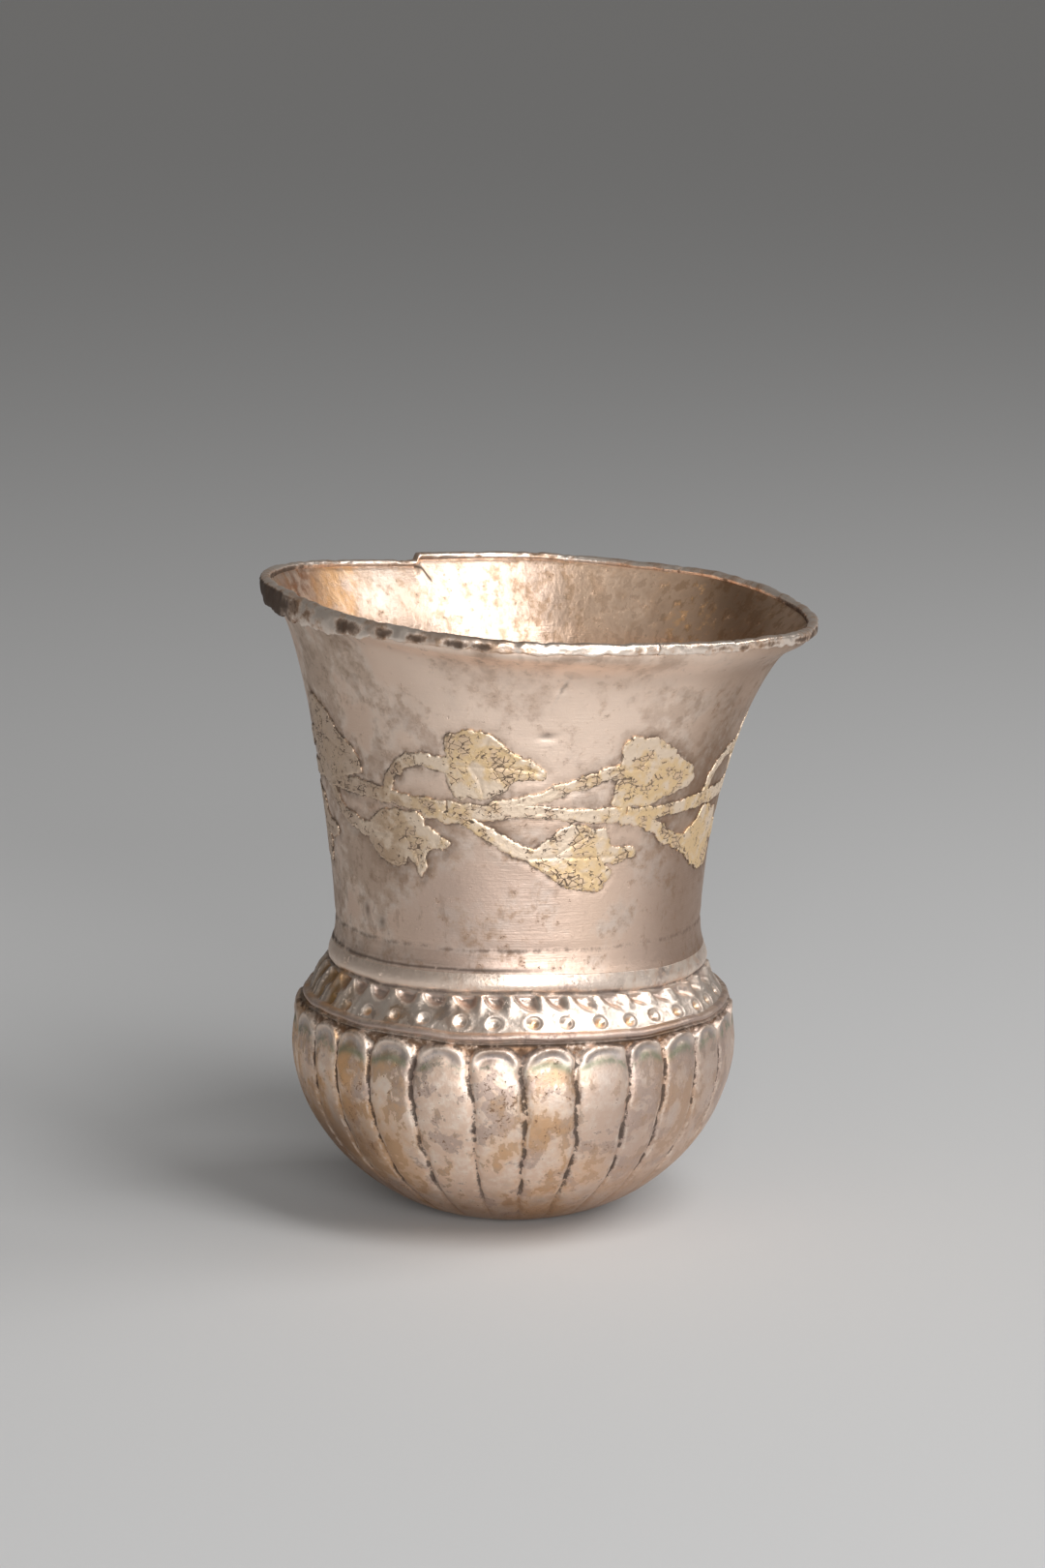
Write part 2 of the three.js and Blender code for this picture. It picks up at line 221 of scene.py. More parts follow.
def ovolo_fields(turn, height):
    """Where a point is on the sloping band.

    Gives how far it is across a dot's unit and across a half-oval's, how far up the slope, how far from
    the middle of the dot, all in millimetres, how far out in the half-oval, whose outline is at 1, and a
    chance number for the unit.
    """
    count = turn / OVOLO_TURN + OVOLO_PHASE
    number = count.math("FLOOR")
    luck = number.chance()
    other_luck = (number + 40.5).chance()
    across = (count.math("FRACT") - 0.5) * OVOLO_WIDTH
    up = (height - BAND_FOOT) * BAND_SLOPE
    dot = (across - DOT_ACROSS - luck * 0.4).reach(up - DOT_UP - other_luck * 0.5)
    lag = turn.rise(-35.0, 25.0) - turn.rise(110.0, 175.0)
    above_middle = up - OVAL_MIDDLE
    share = (count - OVAL_PHASE + lag * (0.54 + above_middle * 0.05)).math("FRACT")
    hung = share * OVOLO_WIDTH - OVOLO_WIDTH / 2
    leaning = (hung + above_middle * 0.4) / OVAL_HALF
    oval = leaning.reach((OVAL_TOP - up) / (OVAL_DROP + luck * 0.6))
    return across, hung, up, dot, oval, luck


# The round beaker and how use has bent it
def ease(value, low, high):
    share = np.clip((value - low) / (high - low), 0, 1)
    return share * share * (3 - 2 * share)


def bump(value, middle, spread):
    return np.exp(-((value - middle) / spread) ** 2)


def mark(across, up, wide, tall):
    """1 in the middle of a small round mark, fading outwards."""
    return np.exp(-(across / wide) ** 2 - (up / tall) ** 2)


def front_turn(turn):
    """The same turn, from -180 to 180."""
    return (turn + 180) % 360 - 180


def rise_at(turn, middle, spread):
    return bump(front_turn(turn - middle), 0, spread)


def read_off(table, turn):
    """What a table of turns says at any turn."""
    return np.interp(front_turn(turn), *np.array(table).T)


def settled(turn, height):
    """How much lower the ridge, the band and the roll sit than in the round beaker."""
    turns, at_ridge, at_roll = np.array(SETTLING).T
    ridge = np.interp(front_turn(turn), turns, at_ridge)
    roll = np.interp(front_turn(turn), turns, at_roll)
    below = np.interp(height, (SETTLE_FOOT, RIDGE_FOOT), (0, 1))
    between = np.interp(height, (RIDGE_FOOT, BAND_TOP), (0, 1))
    above = np.interp(height, (ROLL_TOP, SETTLE_TOP), (1, 0))
    return (ridge * (1 - between) * below + roll * between) * above


def bent(radius, turn, height):
    """Where use has bent a point of the round beaker to."""
    across = radius * np.sin(np.radians(turn))
    up = np.maximum(0, (height - WAIST) / (RIM - WAIST))
    waves = sum(rise * rise_at(turn, middle, spread) for rise, middle, spread in RIM_WAVES)
    tilted = height - up * math.tan(math.radians(MOUTH_TILT)) * across
    lifted = tilted + up ** 4 * waves - settled(turn, height)
    moved = across + NECK_SHIFT * ease(lifted, SHIFT_FOOT, SHIFT_TOP) + MOUTH_SHIFT * up ** MOUTH_POWER
    return np.stack([moved, -radius * np.cos(np.radians(turn)), lifted], axis=-1)


def curve_through(stations, steps):
    """A smooth curve through the stations, with so many steps between each two."""
    at = np.array(stations, dtype=float)
    ends = np.vstack([at[:1], at, at[-1:]])
    along = np.linspace(0, 1, steps, endpoint=False)[:, None]
    parts = []
    for before, start, stop, after in zip(ends[:-3], ends[1:-2], ends[2:-1], ends[3:]):
        leaving, arriving = (stop - before) / 2, (after - start) / 2
        cubic = 2 * start - 2 * stop + leaving + arriving
        square = 3 * stop - 3 * start - 2 * leaving - arriving
        parts.append(cubic * along ** 3 + square * along ** 2 + leaving * along + start)
    return np.vstack(parts + [at[-1:]])


def spaced(path, spacing):
    """The same path with its points about this far apart."""
    path = np.asarray(path, dtype=float)
    steps = np.hypot(*np.diff(path, axis=0).T)
    length = np.concatenate([[0], np.cumsum(steps)])
    wanted = np.linspace(0, length[-1], max(2, round(length[-1] / spacing) + 1))
    return np.stack([np.interp(wanted, length, path[:, axis]) for axis in (0, 1)], axis=-1)


NECK_WALL = curve_through(((NECK_FOOT_RADIUS, NECK_FOOT), (34.8, WAIST), (36.8, 76.8), (41.2, 96.8),
                           (46.4, 110.3), (51.2, 114.8), (WALL_EDGE_RADIUS, WALL_EDGE)), 40)


def neck_radius(height):
    return np.interp(height, NECK_WALL[:, 1], NECK_WALL[:, 0])


def set_in(path, thickness):
    """The path moved inwards by the sheet's thickness."""
    slope = np.gradient(path, axis=0)
    slope /= np.hypot(*slope.T)[:, None]
    return path + np.stack([-slope[:, 1], slope[:, 0]], axis=-1) * thickness


def bowl_side(widest, bottom, steps):
    """The bowl's round side, from the edge of its flat to its widest ring."""
    share = np.linspace(0, 1, steps + 1)[:, None]
    reach, rise = widest - FLAT_RADIUS, WIDEST - bottom
    pulls = np.array([(FLAT_RADIUS, bottom), (FLAT_RADIUS + 0.45 * reach, bottom),
                      (widest, WIDEST - 0.55 * rise), (widest, WIDEST)])
    weights = ((1 - share) ** 3, 3 * share * (1 - share) ** 2, 3 * share ** 2 * (1 - share), share ** 3)
    return sum(weight * pull for weight, pull in zip(weights, pulls))


# Meshes
def placed(name, data):
    """A new object in the scene."""
    made = bpy.data.objects.new(name, data)
    bpy.context.scene.collection.objects.link(made)
    return made


def keep_note(mesh, note, values):
    """Keeps a number for each point of a mesh."""
    held = mesh.attributes.new(note, "FLOAT", "POINT")
    held.data.foreach_set("value", values.astype(np.float32).ravel())


def shell(name, rows, turns, places, looped=False, open_ends=False, **notes):
    """A closed grid of rows and turns, whose points keep the notes.

    A row on the axis is a pole, where its points are joined. A looped shell joins its last row to its
    first, and one with open ends is capped there. The chart holds each corner's turn and height.
    """
    count, columns = places.shape[:2]
    points = places.reshape(-1, 3) * MM
    low = np.arange(count if looped else count - 1)
    high = (low + 1) % count
    column = np.arange(columns - 1 if open_ends else columns)
    after = (column + 1) % columns
    corners = np.stack([low[:, None] * columns + column, low[:, None] * columns + after,
                        high[:, None] * columns + after, high[:, None] * columns + column], axis=-1)
    next_turn = turns[:, after] + np.where(after < column, 360.0, 0.0)
    turn = turns[:, column]
    across = np.stack([turn[low], next_turn[low], next_turn[high], turn[high]], axis=-1)
    up = np.stack([rows[low], rows[low], rows[high], rows[high]], axis=-1)
    up = np.broadcast_to(up[:, None, :], across.shape)
    faces = corners.reshape(-1, 4)
    chart = np.stack([across / 360 + 0.5, up / CHART_HEIGHT], axis=-1)
    polygons = faces.tolist()
    charts = [chart.reshape(-1, 2)]
    if open_ends:
        first = [row * columns for row in range(count)]
        last = [row * columns + columns - 1 for row in range(count)]
        polygons += [first[::-1], last]
        charts.append(np.zeros((2 * count, 2)))
    mesh = bpy.data.meshes.new(name)
    mesh.from_pydata(points.tolist(), [], polygons)
    layer = mesh.uv_layers.new(name="spun")
    layer.uv.foreach_set("vector", np.vstack(charts).astype(np.float32).ravel())
    for note, values in notes.items():
        keep_note(mesh, note, np.broadcast_to(values, (count, columns)))
    if not looped:
        join_poles(mesh)
    mesh.validate()
    return mesh


def join_poles(mesh):
    """Merges the points that meet where the axis leaves the shell."""
    work = bmesh.new()
    work.from_mesh(mesh)
    middle = [point for point in work.verts if math.hypot(point.co.x, point.co.y) < 1e-7]
    bmesh.ops.remove_doubles(work, verts=middle, dist=1e-6)
    work.to_mesh(mesh)
    work.free()


def relief_tree(name, sizes, rule):
    """A tree that moves points along their normals by the rule's height, which is in millimetres."""
    tree = bpy.data.node_groups.new(name, "GeometryNodeTree")
    tree.interface.new_socket(name="Shell", in_out="INPUT", socket_type="NodeSocketGeometry")
    for size in sizes:
        tree.interface.new_socket(name=size, in_out="INPUT", socket_type="NodeSocketFloat")
    tree.interface.new_socket(name="Finish", in_out="INPUT", socket_type="NodeSocketMaterial")
    tree.interface.new_socket(name="Shell", in_out="OUTPUT", socket_type="NodeSocketGeometry")
    graph = Graph(tree)
    given = tree.nodes.new("NodeGroupInput")
    inputs = {socket.name: Value(graph, socket) for socket in given.outputs if socket.name}
    height = rule(graph, inputs)
    normal = graph.node("GeometryNodeInputNormal")
    offset = graph.node("ShaderNodeVectorMath", {"operation": "SCALE"}, {0: normal, 3: height * MM})
    moved = graph.node("GeometryNodeSetPosition", {}, {"Geometry": inputs["Shell"], "Offset": offset})
    whole = graph.node("GeometryNodeRealizeInstances", {}, {0: moved})
    finished = graph.node("GeometryNodeSetMaterial", {}, {"Geometry": whole, "Material": inputs["Finish"]})
    graph.node("NodeGroupOutput", {}, {0: finished})
    return tree


def notes_of(graph, *names):
    """The numbers that the points of a piece keep under these names."""
    kind = "GeometryNodeInputNamedAttribute"
    return [graph.node(kind, {"data_type": "FLOAT"}, {0: name}) for name in names]


def place_of(graph):
    return graph.node("GeometryNodeInputPosition")


def piece(name, mesh, tree, sizes, material, slot, *nodes):
    """Runs a tree on a mesh, keeps the result as a plain piece and puts it in the frame."""
    made = placed(name, mesh)
    modifier = made.modifiers.new("relief", "NODES")
    modifier.node_group = tree
    keys = {item.name: item.identifier for item in tree.interface.items_tree if item.in_out == "INPUT"}
    for size, value in sizes.items():
        modifier[keys[size]] = value
    modifier[keys["Finish"]] = material
    graph_now = bpy.context.evaluated_depsgraph_get()
    plain = bpy.data.meshes.new_from_object(
        made.evaluated_get(graph_now), preserve_all_data_layers=True, depsgraph=graph_now)
    made.modifiers.clear()
    made.data = plain
    plain.name = name
    plain.polygons.foreach_set("use_smooth", np.ones(len(plain.polygons), dtype=bool))
    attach(made, "root")
    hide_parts(*nodes)
    return made


# Finishes
def tint(red, green, blue):
    """A colour whose parts run from 0 to 255, made linear."""
    parts = [((part / 255 + 0.055) / 1.055) ** 2.4 for part in (red, green, blue)]
    return (*parts, 1)


PALE_SILVER = tint(243, 227, 213)
PINK_GOLD = tint(231, 204, 184)
MAUVE = tint(190, 168, 157)
SLATE = tint(158, 144, 136)
STEEL_BLUE = tint(172, 168, 168)
WALL_TONE = tint(206, 182, 162)
TAN = tint(186, 150, 116)
OCHRE = tint(236, 185, 130)
OCHRE_BROWN = tint(170, 128, 72)
BROWN = tint(126, 94, 68)
UMBER = tint(54, 38, 27)
RUST = tint(150, 92, 50)
OLIVE = tint(124, 130, 106)
CREAM = tint(243, 222, 199)
PALE_GOLD = tint(240, 207, 155)
BRIGHT_SILVER = tint(255, 232, 214)


def new_finish(name):
    material = bpy.data.materials.new(name)
    material.use_nodes = True
    material.node_tree.nodes.clear()
    graph = Graph(material.node_tree)
    place = graph.node("ShaderNodeTexCoord", {}, (), "Object")
    return material, graph, place


def close_finish(coat, roughness, metallic, height, depth):
    """Ends a finish: its colours, its gloss and a fine relief of so many millimetres."""
    graph = coat.graph
    inputs = {"Strength": 1.0, "Distance": depth * MM, "Height": height}
    relief = graph.node("ShaderNodeBump", {}, inputs)
    surface = graph.node("ShaderNodeBsdfPrincipled", {}, {
        "Base Color": coat.colour, "Roughness": roughness, "Metallic": metallic, "Normal": relief})
    graph.node("ShaderNodeOutputMaterial", {}, {"Surface": surface})


def spun_chart(graph):
    """The turn and the height that a spun piece's chart holds."""
    chart = graph.node("ShaderNodeUVMap", {"uv_map": "spun"})
    return (chart.part(0) - 0.5) * 360.0, chart.part(1) * CHART_HEIGHT


def noted(graph, name):
    return graph.node("ShaderNodeAttribute", {"attribute_name": name}, (), "Fac")


def bowl_finish():
    """Worn silver with pinkish gold left on the tongues, and black-brown tarnish in the grooves."""
    material, graph, place = new_finish("chased bowl silver")
    turn, height = spun_chart(graph)
    inside = noted(graph, "inside")
    across, number, inset = tongue_fields(place, turn, height)
    unit_across, hung, slope, dot, oval, luck = ovolo_fields(turn, height)
    on_tongues = height.fall(41.6, 42.2)
    on_band = height.rise(43.7, 44.0) * height.fall(50.2, 50.6)
    patches = place.noise(150.0, 7.0, 0.62)
    islands = place.stretched(1.0, 1.0, 0.7).noise(230.0, 6.0, 0.6)
    clouds = place.noise(55.0, 4.0)
    mottle = place.noise(560.0, 5.0, 0.65)
    grain = place.noise(1700.0, 3.0, 0.7)
    tongue_luck = number.chance()

    coat = Coat(graph, PINK_GOLD)
    coat.lay((mottle * 0.6 + clouds * 0.5).rise(0.46, 0.66), PALE_SILVER)
    worn = (patches + (tongue_luck - 0.5) * 0.10 + (mottle - 0.5) * 0.22).rise(0.505, 0.545)
    coat.lay(worn * 0.75, MAUVE)
    bare = (islands + (clouds - 0.5) * 0.5 + (mottle - 0.5) * 0.12).rise(0.565, 0.585)
    coat.lay(bare * 0.65, SLATE)
    east = place.east()
    left = east.fall(*TORN_SIDE)
    gilded = clouds + (islands - 0.5) * 0.7 + (mottle - 0.5) * 0.25 - (height - 20.0) * 0.004 + left * 0.06
    yellowed = gilded.rise(0.43, 0.70)
    coat.lay(yellowed * (0.6 + left * 0.25), OCHRE)
    specks = (grain * 0.6 + patches * 0.4 + (mottle - 0.5) * 0.4).rise(0.585, 0.65)
    coat.lay(specks * on_tongues * 0.8, BROWN)
    # Painted shade: the low left of the bowl is laid darker brown, standing in for the shadow that falls
    # there
    painted_shade_low_left = (east + (clouds - 0.5) * 12.0).fall(-34.0, -12.0)
    coat.lay(painted_shade_low_left * height.fall(18.0, 34.0) * 0.82, BROWN)
    low = (height + (patches - 0.5) * 14.0).fall(2.0, 15.0)
    coat.lay(low * 0.7, BROWN)
    coat.lay(east.rise(6.0, 22.0) * on_tongues * 0.52, MAUVE)

    arch_zone = height.rise(36.4, 38.4) * on_tongues
    # Painted shade: cool grey in the hollow just under each arch's lip, where shadow falls inside the arch
    spoon = inset.near(1.9, 0.9) * arch_zone
    coat.lay(spoon * 0.6, STEEL_BLUE)
    stain = (height + across * across * 1.8 + (patches - 0.5) * 1.6).near(37.6, 0.85)
    stain = stain * inset.rise(0.3, 1.2) * (mottle + clouds).rise(0.84, 1.06)
    coat.lay(stain * 0.75, OLIVE)
    rim_glint = inset.near(0.75, 0.42) * arch_zone
    coat.lay(rim_glint * 0.7, PALE_SILVER)
    groove_edge = inset.near(0.85, 0.3) * (1.0 - arch_zone) * mottle.rise(0.42, 0.6) * on_tongues
    coat.lay(groove_edge * 0.55 * height.rise(5.0, 16.0), PALE_SILVER)
    spandrel = inset.fall(-0.5, -0.1) * height.rise(37.6, 38.6) * on_tongues
    coat.lay(spandrel * (mottle + patches).rise(0.8, 1.02) * 0.8, BROWN)
    crust = height.near(41.0, 0.8) * (patches + mottle).rise(0.9, 1.08)
    coat.lay(crust * 0.65, BROWN)

    broken = (mottle * 0.5 + patches * 0.55 + grain * 0.2).rise(0.56, 0.72)
    width = 0.22 + broken * 0.45
    groove = (inset / width).fall(0.45, 1.1) * height.rise(3.0, 13.0)
    groove = groove * height.fall(37.6, 39.2) * broken.rise(-0.15, 0.35)
    edge_line = inset.near(-0.2, 0.26) * height.rise(36.6, 38.2) * on_tongues
    edge_line = edge_line * (mottle + patches).rise(0.86, 1.06)
    under_ridge = (height + (patches - 0.5) * 0.7).near(41.8, 0.46)
    upper_groove = (height + (patches - 0.5) * 0.8).near(50.6, 0.36)
    dot_ring = dot.near(1.32, 0.24) * on_band * (unit_across + slope * 0.5).rise(0.6, 2.2)
    oval_line = oval.near(0.96, 0.10) * on_band * hung.fall(-0.2, 2.2)
    dark = groove.most(edge_line * 0.85, under_ridge, upper_groove * 0.9, dot_ring * 0.8, oval_line * 0.55)
    dark = dark * (mottle + patches * 0.5).rise(0.46, 0.78)
    crevice = height.near(53.9, 0.6) * (turn + (clouds - 0.5) * 50.0).fall(-12.0, 6.0)
    crevice = crevice * turn.rise(-95.0, -60.0) * (mottle + patches * 0.5).rise(0.62, 0.84)

    in_oval = oval.fall(0.75, 1.0) * on_band
    # Mauve in the half-ovals is their own greyer tone; it fades to the right as a painted highlight where
    # the light falls on the band
    coat.lay(in_oval * (0.65 - east.rise(-4.0, 14.0) * 0.4), MAUVE)
    band_clean = on_band * patches.rise(0.36, 0.54) * (1.0 - in_oval * 0.8)
    coat.lay(band_clean * 0.8, PALE_SILVER)
    in_dot = dot.fall(0.3, 1.2) * on_band * (luck + mottle).rise(0.65, 1.0)
    coat.lay(in_dot * 0.7, OCHRE)
    tear = (unit_across - 0.4).math("ABSOLUTE") + (mottle - 0.5) * 1.2
    coat.lay(tear.fall(0.6, 1.7) * on_band * left * 0.75, OCHRE_BROWN)
    between_tears = tear.rise(1.7, 2.2) * tear.fall(2.6, 3.1) * on_band * left
    upper = height.rise(50.7, 51.4)
    # Pale patches on the roll, partly worn silver and partly painted highlight
    coat.lay(upper * 0.55 * (mottle + clouds).rise(0.8, 1.0), PALE_SILVER)
    # Painted light: bright silver on the left of the roll, lifting it as if more light fell there
    painted_light_on_roll = upper * east.near(-23.0, 13.0)
    coat.lay(painted_light_on_roll * 0.85, BRIGHT_SILVER)
    wire = height.near(43.0, 0.6)
    coat.lay(wire * 0.85, MAUVE)
    coat.lay(inside * 0.6, BROWN)
    coat.lay(crevice * 0.25, BROWN)
    dark = dark.most(between_tears * 0.8) * (1.0 - inside)
    coat.lay(dark * 0.88, UMBER)

    roughness = 0.34 + mottle * 0.18 + on_tongues * 0.07 + dark * 0.35 - on_band * 0.08 + wire * 0.06
    metallic = 0.95 - dark * 0.75 - specks * 0.25 - stain * 0.2
    height_map = mottle * 0.55 + grain * 0.30 - worn * 0.06 - specks * 0.5 - dark * 0.8
    close_finish(coat, roughness, metallic, height_map, 0.16)
    return material


def neck_finish():
    """Softly hammered, warm pinkish-grey silver, mottled tan, with fine scratches."""
    material, graph, place = new_finish("hammered neck silver")
    turn, height = spun_chart(graph)
    inside = noted(graph, "inside")
    gap = noted(graph, "vine_gap")
    clouds = place.noise(26.0, 5.0, 0.62)
    patches = place.noise(105.0, 6.0, 0.62)
    mottle = place.noise(470.0, 5.0, 0.65)
    grain = place.noise(2000.0, 3.0, 0.6)
    scratches = place.stretched(1.0, 1.0, 24.0).noise(150.0, 5.0, 0.65)
    cross_marks = place.stretched(1.0, 8.0, 5.0).noise(420.0, 3.0, 0.6)
    runs = place.stretched(1.0, 1.0, 0.5).noise(420.0, 4.0, 0.6)

    coat = Coat(graph, PINK_GOLD)
    coat.lay((clouds + (patches - 0.5) * 0.7).rise(0.42, 0.62), PALE_SILVER)
    east = place.east()
    bearing = (turn * math.radians(1.0)).math("SINE")
    # Painted sheen: the upper wall that faces the front is laid bright silver where the front lights shine
    # on it
    rubbed = (bearing - 0.06).math("ABSOLUTE").fall(0.3, 0.95)
    coat.lay(rubbed * height.rise(70.0, 104.0) * 0.95, BRIGHT_SILVER)
    # The lower wall is laid darker mauve, partly its own greyer tone and partly painted shade; it is left
    # out right of the front, where the highlight falls, and lightened on the left
    dull = height.fall(68.0, 88.0) * (1.0 - bearing.near(0.42, 0.22) * 0.9)
    dull = dull * (1.0 - bearing.fall(-0.8, -0.3) * 0.8)
    coat.lay(dull * 0.58, MAUVE)
    greyed = (patches + (clouds - 0.5) * 0.6 + (mottle - 0.5) * 0.3).rise(0.48, 0.66)
    coat.lay(greyed * (0.4 - height.rise(98.0, 107.0) * 0.2), MAUVE)
    tanned = (clouds * 0.6 + patches * 0.35 + mottle * 0.35).rise(0.63, 0.74)
    # The tan and brown spots are thinned under that painted sheen
    painted_front_sheen = rubbed * height.rise(66.0, 92.0)
    coat.lay(tanned * (1.0 - painted_front_sheen * 0.45) * 0.4, TAN)
    spots = (mottle * 0.75 + patches * 0.4).rise(0.62, 0.72)
    coat.lay(spots * (1.0 - painted_front_sheen * 0.4) * 0.3, BROWN)
    dapples = place.noise(250.0, 2.0, 0.4).rise(0.60, 0.66) * clouds.rise(0.42, 0.56)
    coat.lay(dapples * 0.24, BROWN)
    low_runs = (runs + (clouds - 0.5) * 0.5).rise(0.56, 0.64) * height.fall(62.0, 78.0)
    coat.lay(low_runs * 0.32, BROWN)
    # Brown at the sides, partly brown patina and partly painted shade where the wall turns away from the
    # light
    sides = bearing.rise(0.58, 0.88) + bearing.fall(-1.0, -0.8) * 0.12
    coat.lay(sides * (0.6 + (clouds + mottle * 0.3).rise(0.5, 0.85) * 0.4) * 0.8, BROWN)
    lip_shade = height.rise(101.0, 114.0) * (clouds + patches * 0.5).rise(0.58, 0.88)
    lip_shade = lip_shade.most((height + patches * 6.0).near(113.5, 2.4) * east.rise(2.0, 16.0))
    coat.lay(lip_shade * 0.2, BROWN)

    waver = (patches - 0.5) * 1.6
    left_part = (east + (clouds - 0.5) * 24.0).fall(-8.0, 10.0)
    lap = (height + waver).near(58.0, 0.18 + mottle * 0.35) * (mottle + patches * 0.6).rise(0.64, 0.90)
    foot = (height + waver * 0.5).near(54.8, 0.22 + mottle * 0.3) * (patches + mottle).rise(0.76, 0.94)
    foot = foot * (0.08 + left_part * 0.92)
    lapped = (height + waver).rise(54.8, 55.4) * (height + waver).fall(57.4, 58.2)
    coat.lay(lapped * 0.12, MAUVE)
    coat.lay((lapped + mottle * 0.4).rise(1.0, 1.25) * left_part * 0.16, BROWN)
    # Brown round the foil, partly dirt at its edges and partly a painted shadow of the foil's raised edge
    vine_shadow_and_dirt = gap.fall(0.1, 2.6) * (clouds + mottle * 0.6).rise(0.62, 0.92)
    outline = gap.near(0.16, 0.26) * (mottle * 0.7 + patches * 0.5).rise(0.54, 0.66)
    coat.lay(vine_shadow_and_dirt * 0.4 * (1.0 - inside), BROWN)
    dark = (lap * 0.7).most(foot * 0.95, outline * 0.65) * (1.0 - inside)
    pits = (grain * 0.45 + mottle * 0.6).rise(0.64, 0.70)
    dark = dark.most(pits * 0.3, noted(graph, "scar") * 0.85)

    lining = Coat(graph, PINK_GOLD)
    lining.lay((runs * 0.6 + patches * 0.5).rise(0.52, 0.68) * 0.5, TAN)
    # Painted highlight: pale silver streaks on the inside back wall where the key light's reflection falls
    painted_highlight_streaks = east.near(-26.5, 4.5).most(east.near(-13.0, 8.0) * 0.55)
    lining.lay(painted_highlight_streaks * (runs + patches).rise(0.86, 1.08) * 0.8, PALE_SILVER)
    # Painted shade: mauve right of the inside highlight, which gives the highlight its sharp edge
    painted_shade_beside_highlight = (east + (patches - 0.5) * 6.0).rise(2.0, 7.0) * east.fall(10.0, 22.0)
    lining.lay(painted_shade_beside_highlight * 0.25, MAUVE)
    lining.lay((runs * 0.5 + mottle * 0.5).rise(0.47, 0.6) * 0.5, TAN)
    worn_right = east.near(22.0, 10.0) * (patches + runs).rise(0.80, 1.05)
    lining.lay(worn_right * 0.9, BRIGHT_SILVER)
    lining.lay(east.rise(2.0, 16.0) * 0.35, OCHRE)
    right = east.rise(12.0, 44.0)
    lining.lay(right * (clouds + patches * 0.5).rise(0.50, 0.86) * 0.3, BROWN)
    ochre_end = east.rise(-41.0, -36.0) * east.fall(-31.5, -29.5)
    lining.lay(ochre_end * (patches + mottle * 0.6).rise(0.62, 0.86) * 0.7, OCHRE)
    rusty = east.near(-41.0, 3.0) * (patches + mottle).rise(0.85, 1.1)
    lining.lay(rusty * 0.8, RUST)
    blots = (runs * 0.7 + mottle * 0.35).rise(0.54, 0.60) * east.rise(-10.0, 12.0)
    lining.lay(blots * 0.32, BROWN)
    slash = (turn + 150.8 + (117.6 - height) * 0.9) * 0.87
    slash = slash.near(0.0, 0.3) * height.rise(112.8, 113.6)
    lining.lay(east.near(44.0, 7.0) * 0.6, BROWN)
    flecks = (mottle * 0.6 + patches * 0.5).rise(0.59, 0.65) * east.near(34.0, 4.5)
    lining.lay(flecks * 0.6, OCHRE)
    deep = height.fall(58.0, 100.0)
    lining.lay(deep * 0.4, BROWN)
    coat.lay(inside, lining.colour)
    dark = dark.most(slash * inside)
    coat.lay(dark * 0.9, UMBER)

    roughness = 0.42 + mottle * 0.14 + tanned * 0.05 + dark * 0.2 + inside * (runs - 0.75) * 0.35
    dulled = inside * east.rise(4.0, 20.0) * east.fall(32.0, 44.0)
    metallic = 0.95 - dark * 0.7 - spots * 0.12 - low_runs * 0.1 - dulled * 0.2
    height_map = mottle * 0.45 + grain * 0.25 + scratches * 0.4 + cross_marks * 0.2 - pits * 0.7
    height_map = height_map + inside * (patches + runs) * 1.2
    close_finish(coat, roughness, metallic, height_map, 0.12)
    return material


def binding_finish():
    """A hammered strip with dark brown tarnish in its hollows."""
    material, graph, place = new_finish("hammered strip silver")
    tarnish = noted(graph, "tarnish")
    hollow = noted(graph, "hollow")
    patches = place.noise(190.0, 5.0, 0.62)
    mottle = place.noise(620.0, 5.0, 0.65)
    grain = place.noise(2000.0, 3.0, 0.6)
    coat = Coat(graph, PALE_SILVER)
    coat.lay((patches + (mottle - 0.5) * 0.4).rise(0.42, 0.60), PINK_GOLD)
    coat.lay((mottle * 0.7 + patches * 0.5).rise(0.62, 0.72) * 0.55, TAN)
    stained = (tarnish + hollow * 0.15 + (mottle - 0.5) * 1.1 + (patches - 0.5) * 0.9).rise(0.22, 1.15)
    coat.lay(stained.rise(0.0, 0.6) * 0.7, BROWN)
    coat.lay(stained.rise(0.3, 1.0) * 0.85, UMBER)
    roughness = 0.28 + mottle * 0.14 + stained * 0.35
    metallic = 0.95 - stained * 0.65
    close_finish(coat, roughness, metallic, mottle * 0.5 + patches * 0.4 + grain * 0.2, 0.18)
    return material


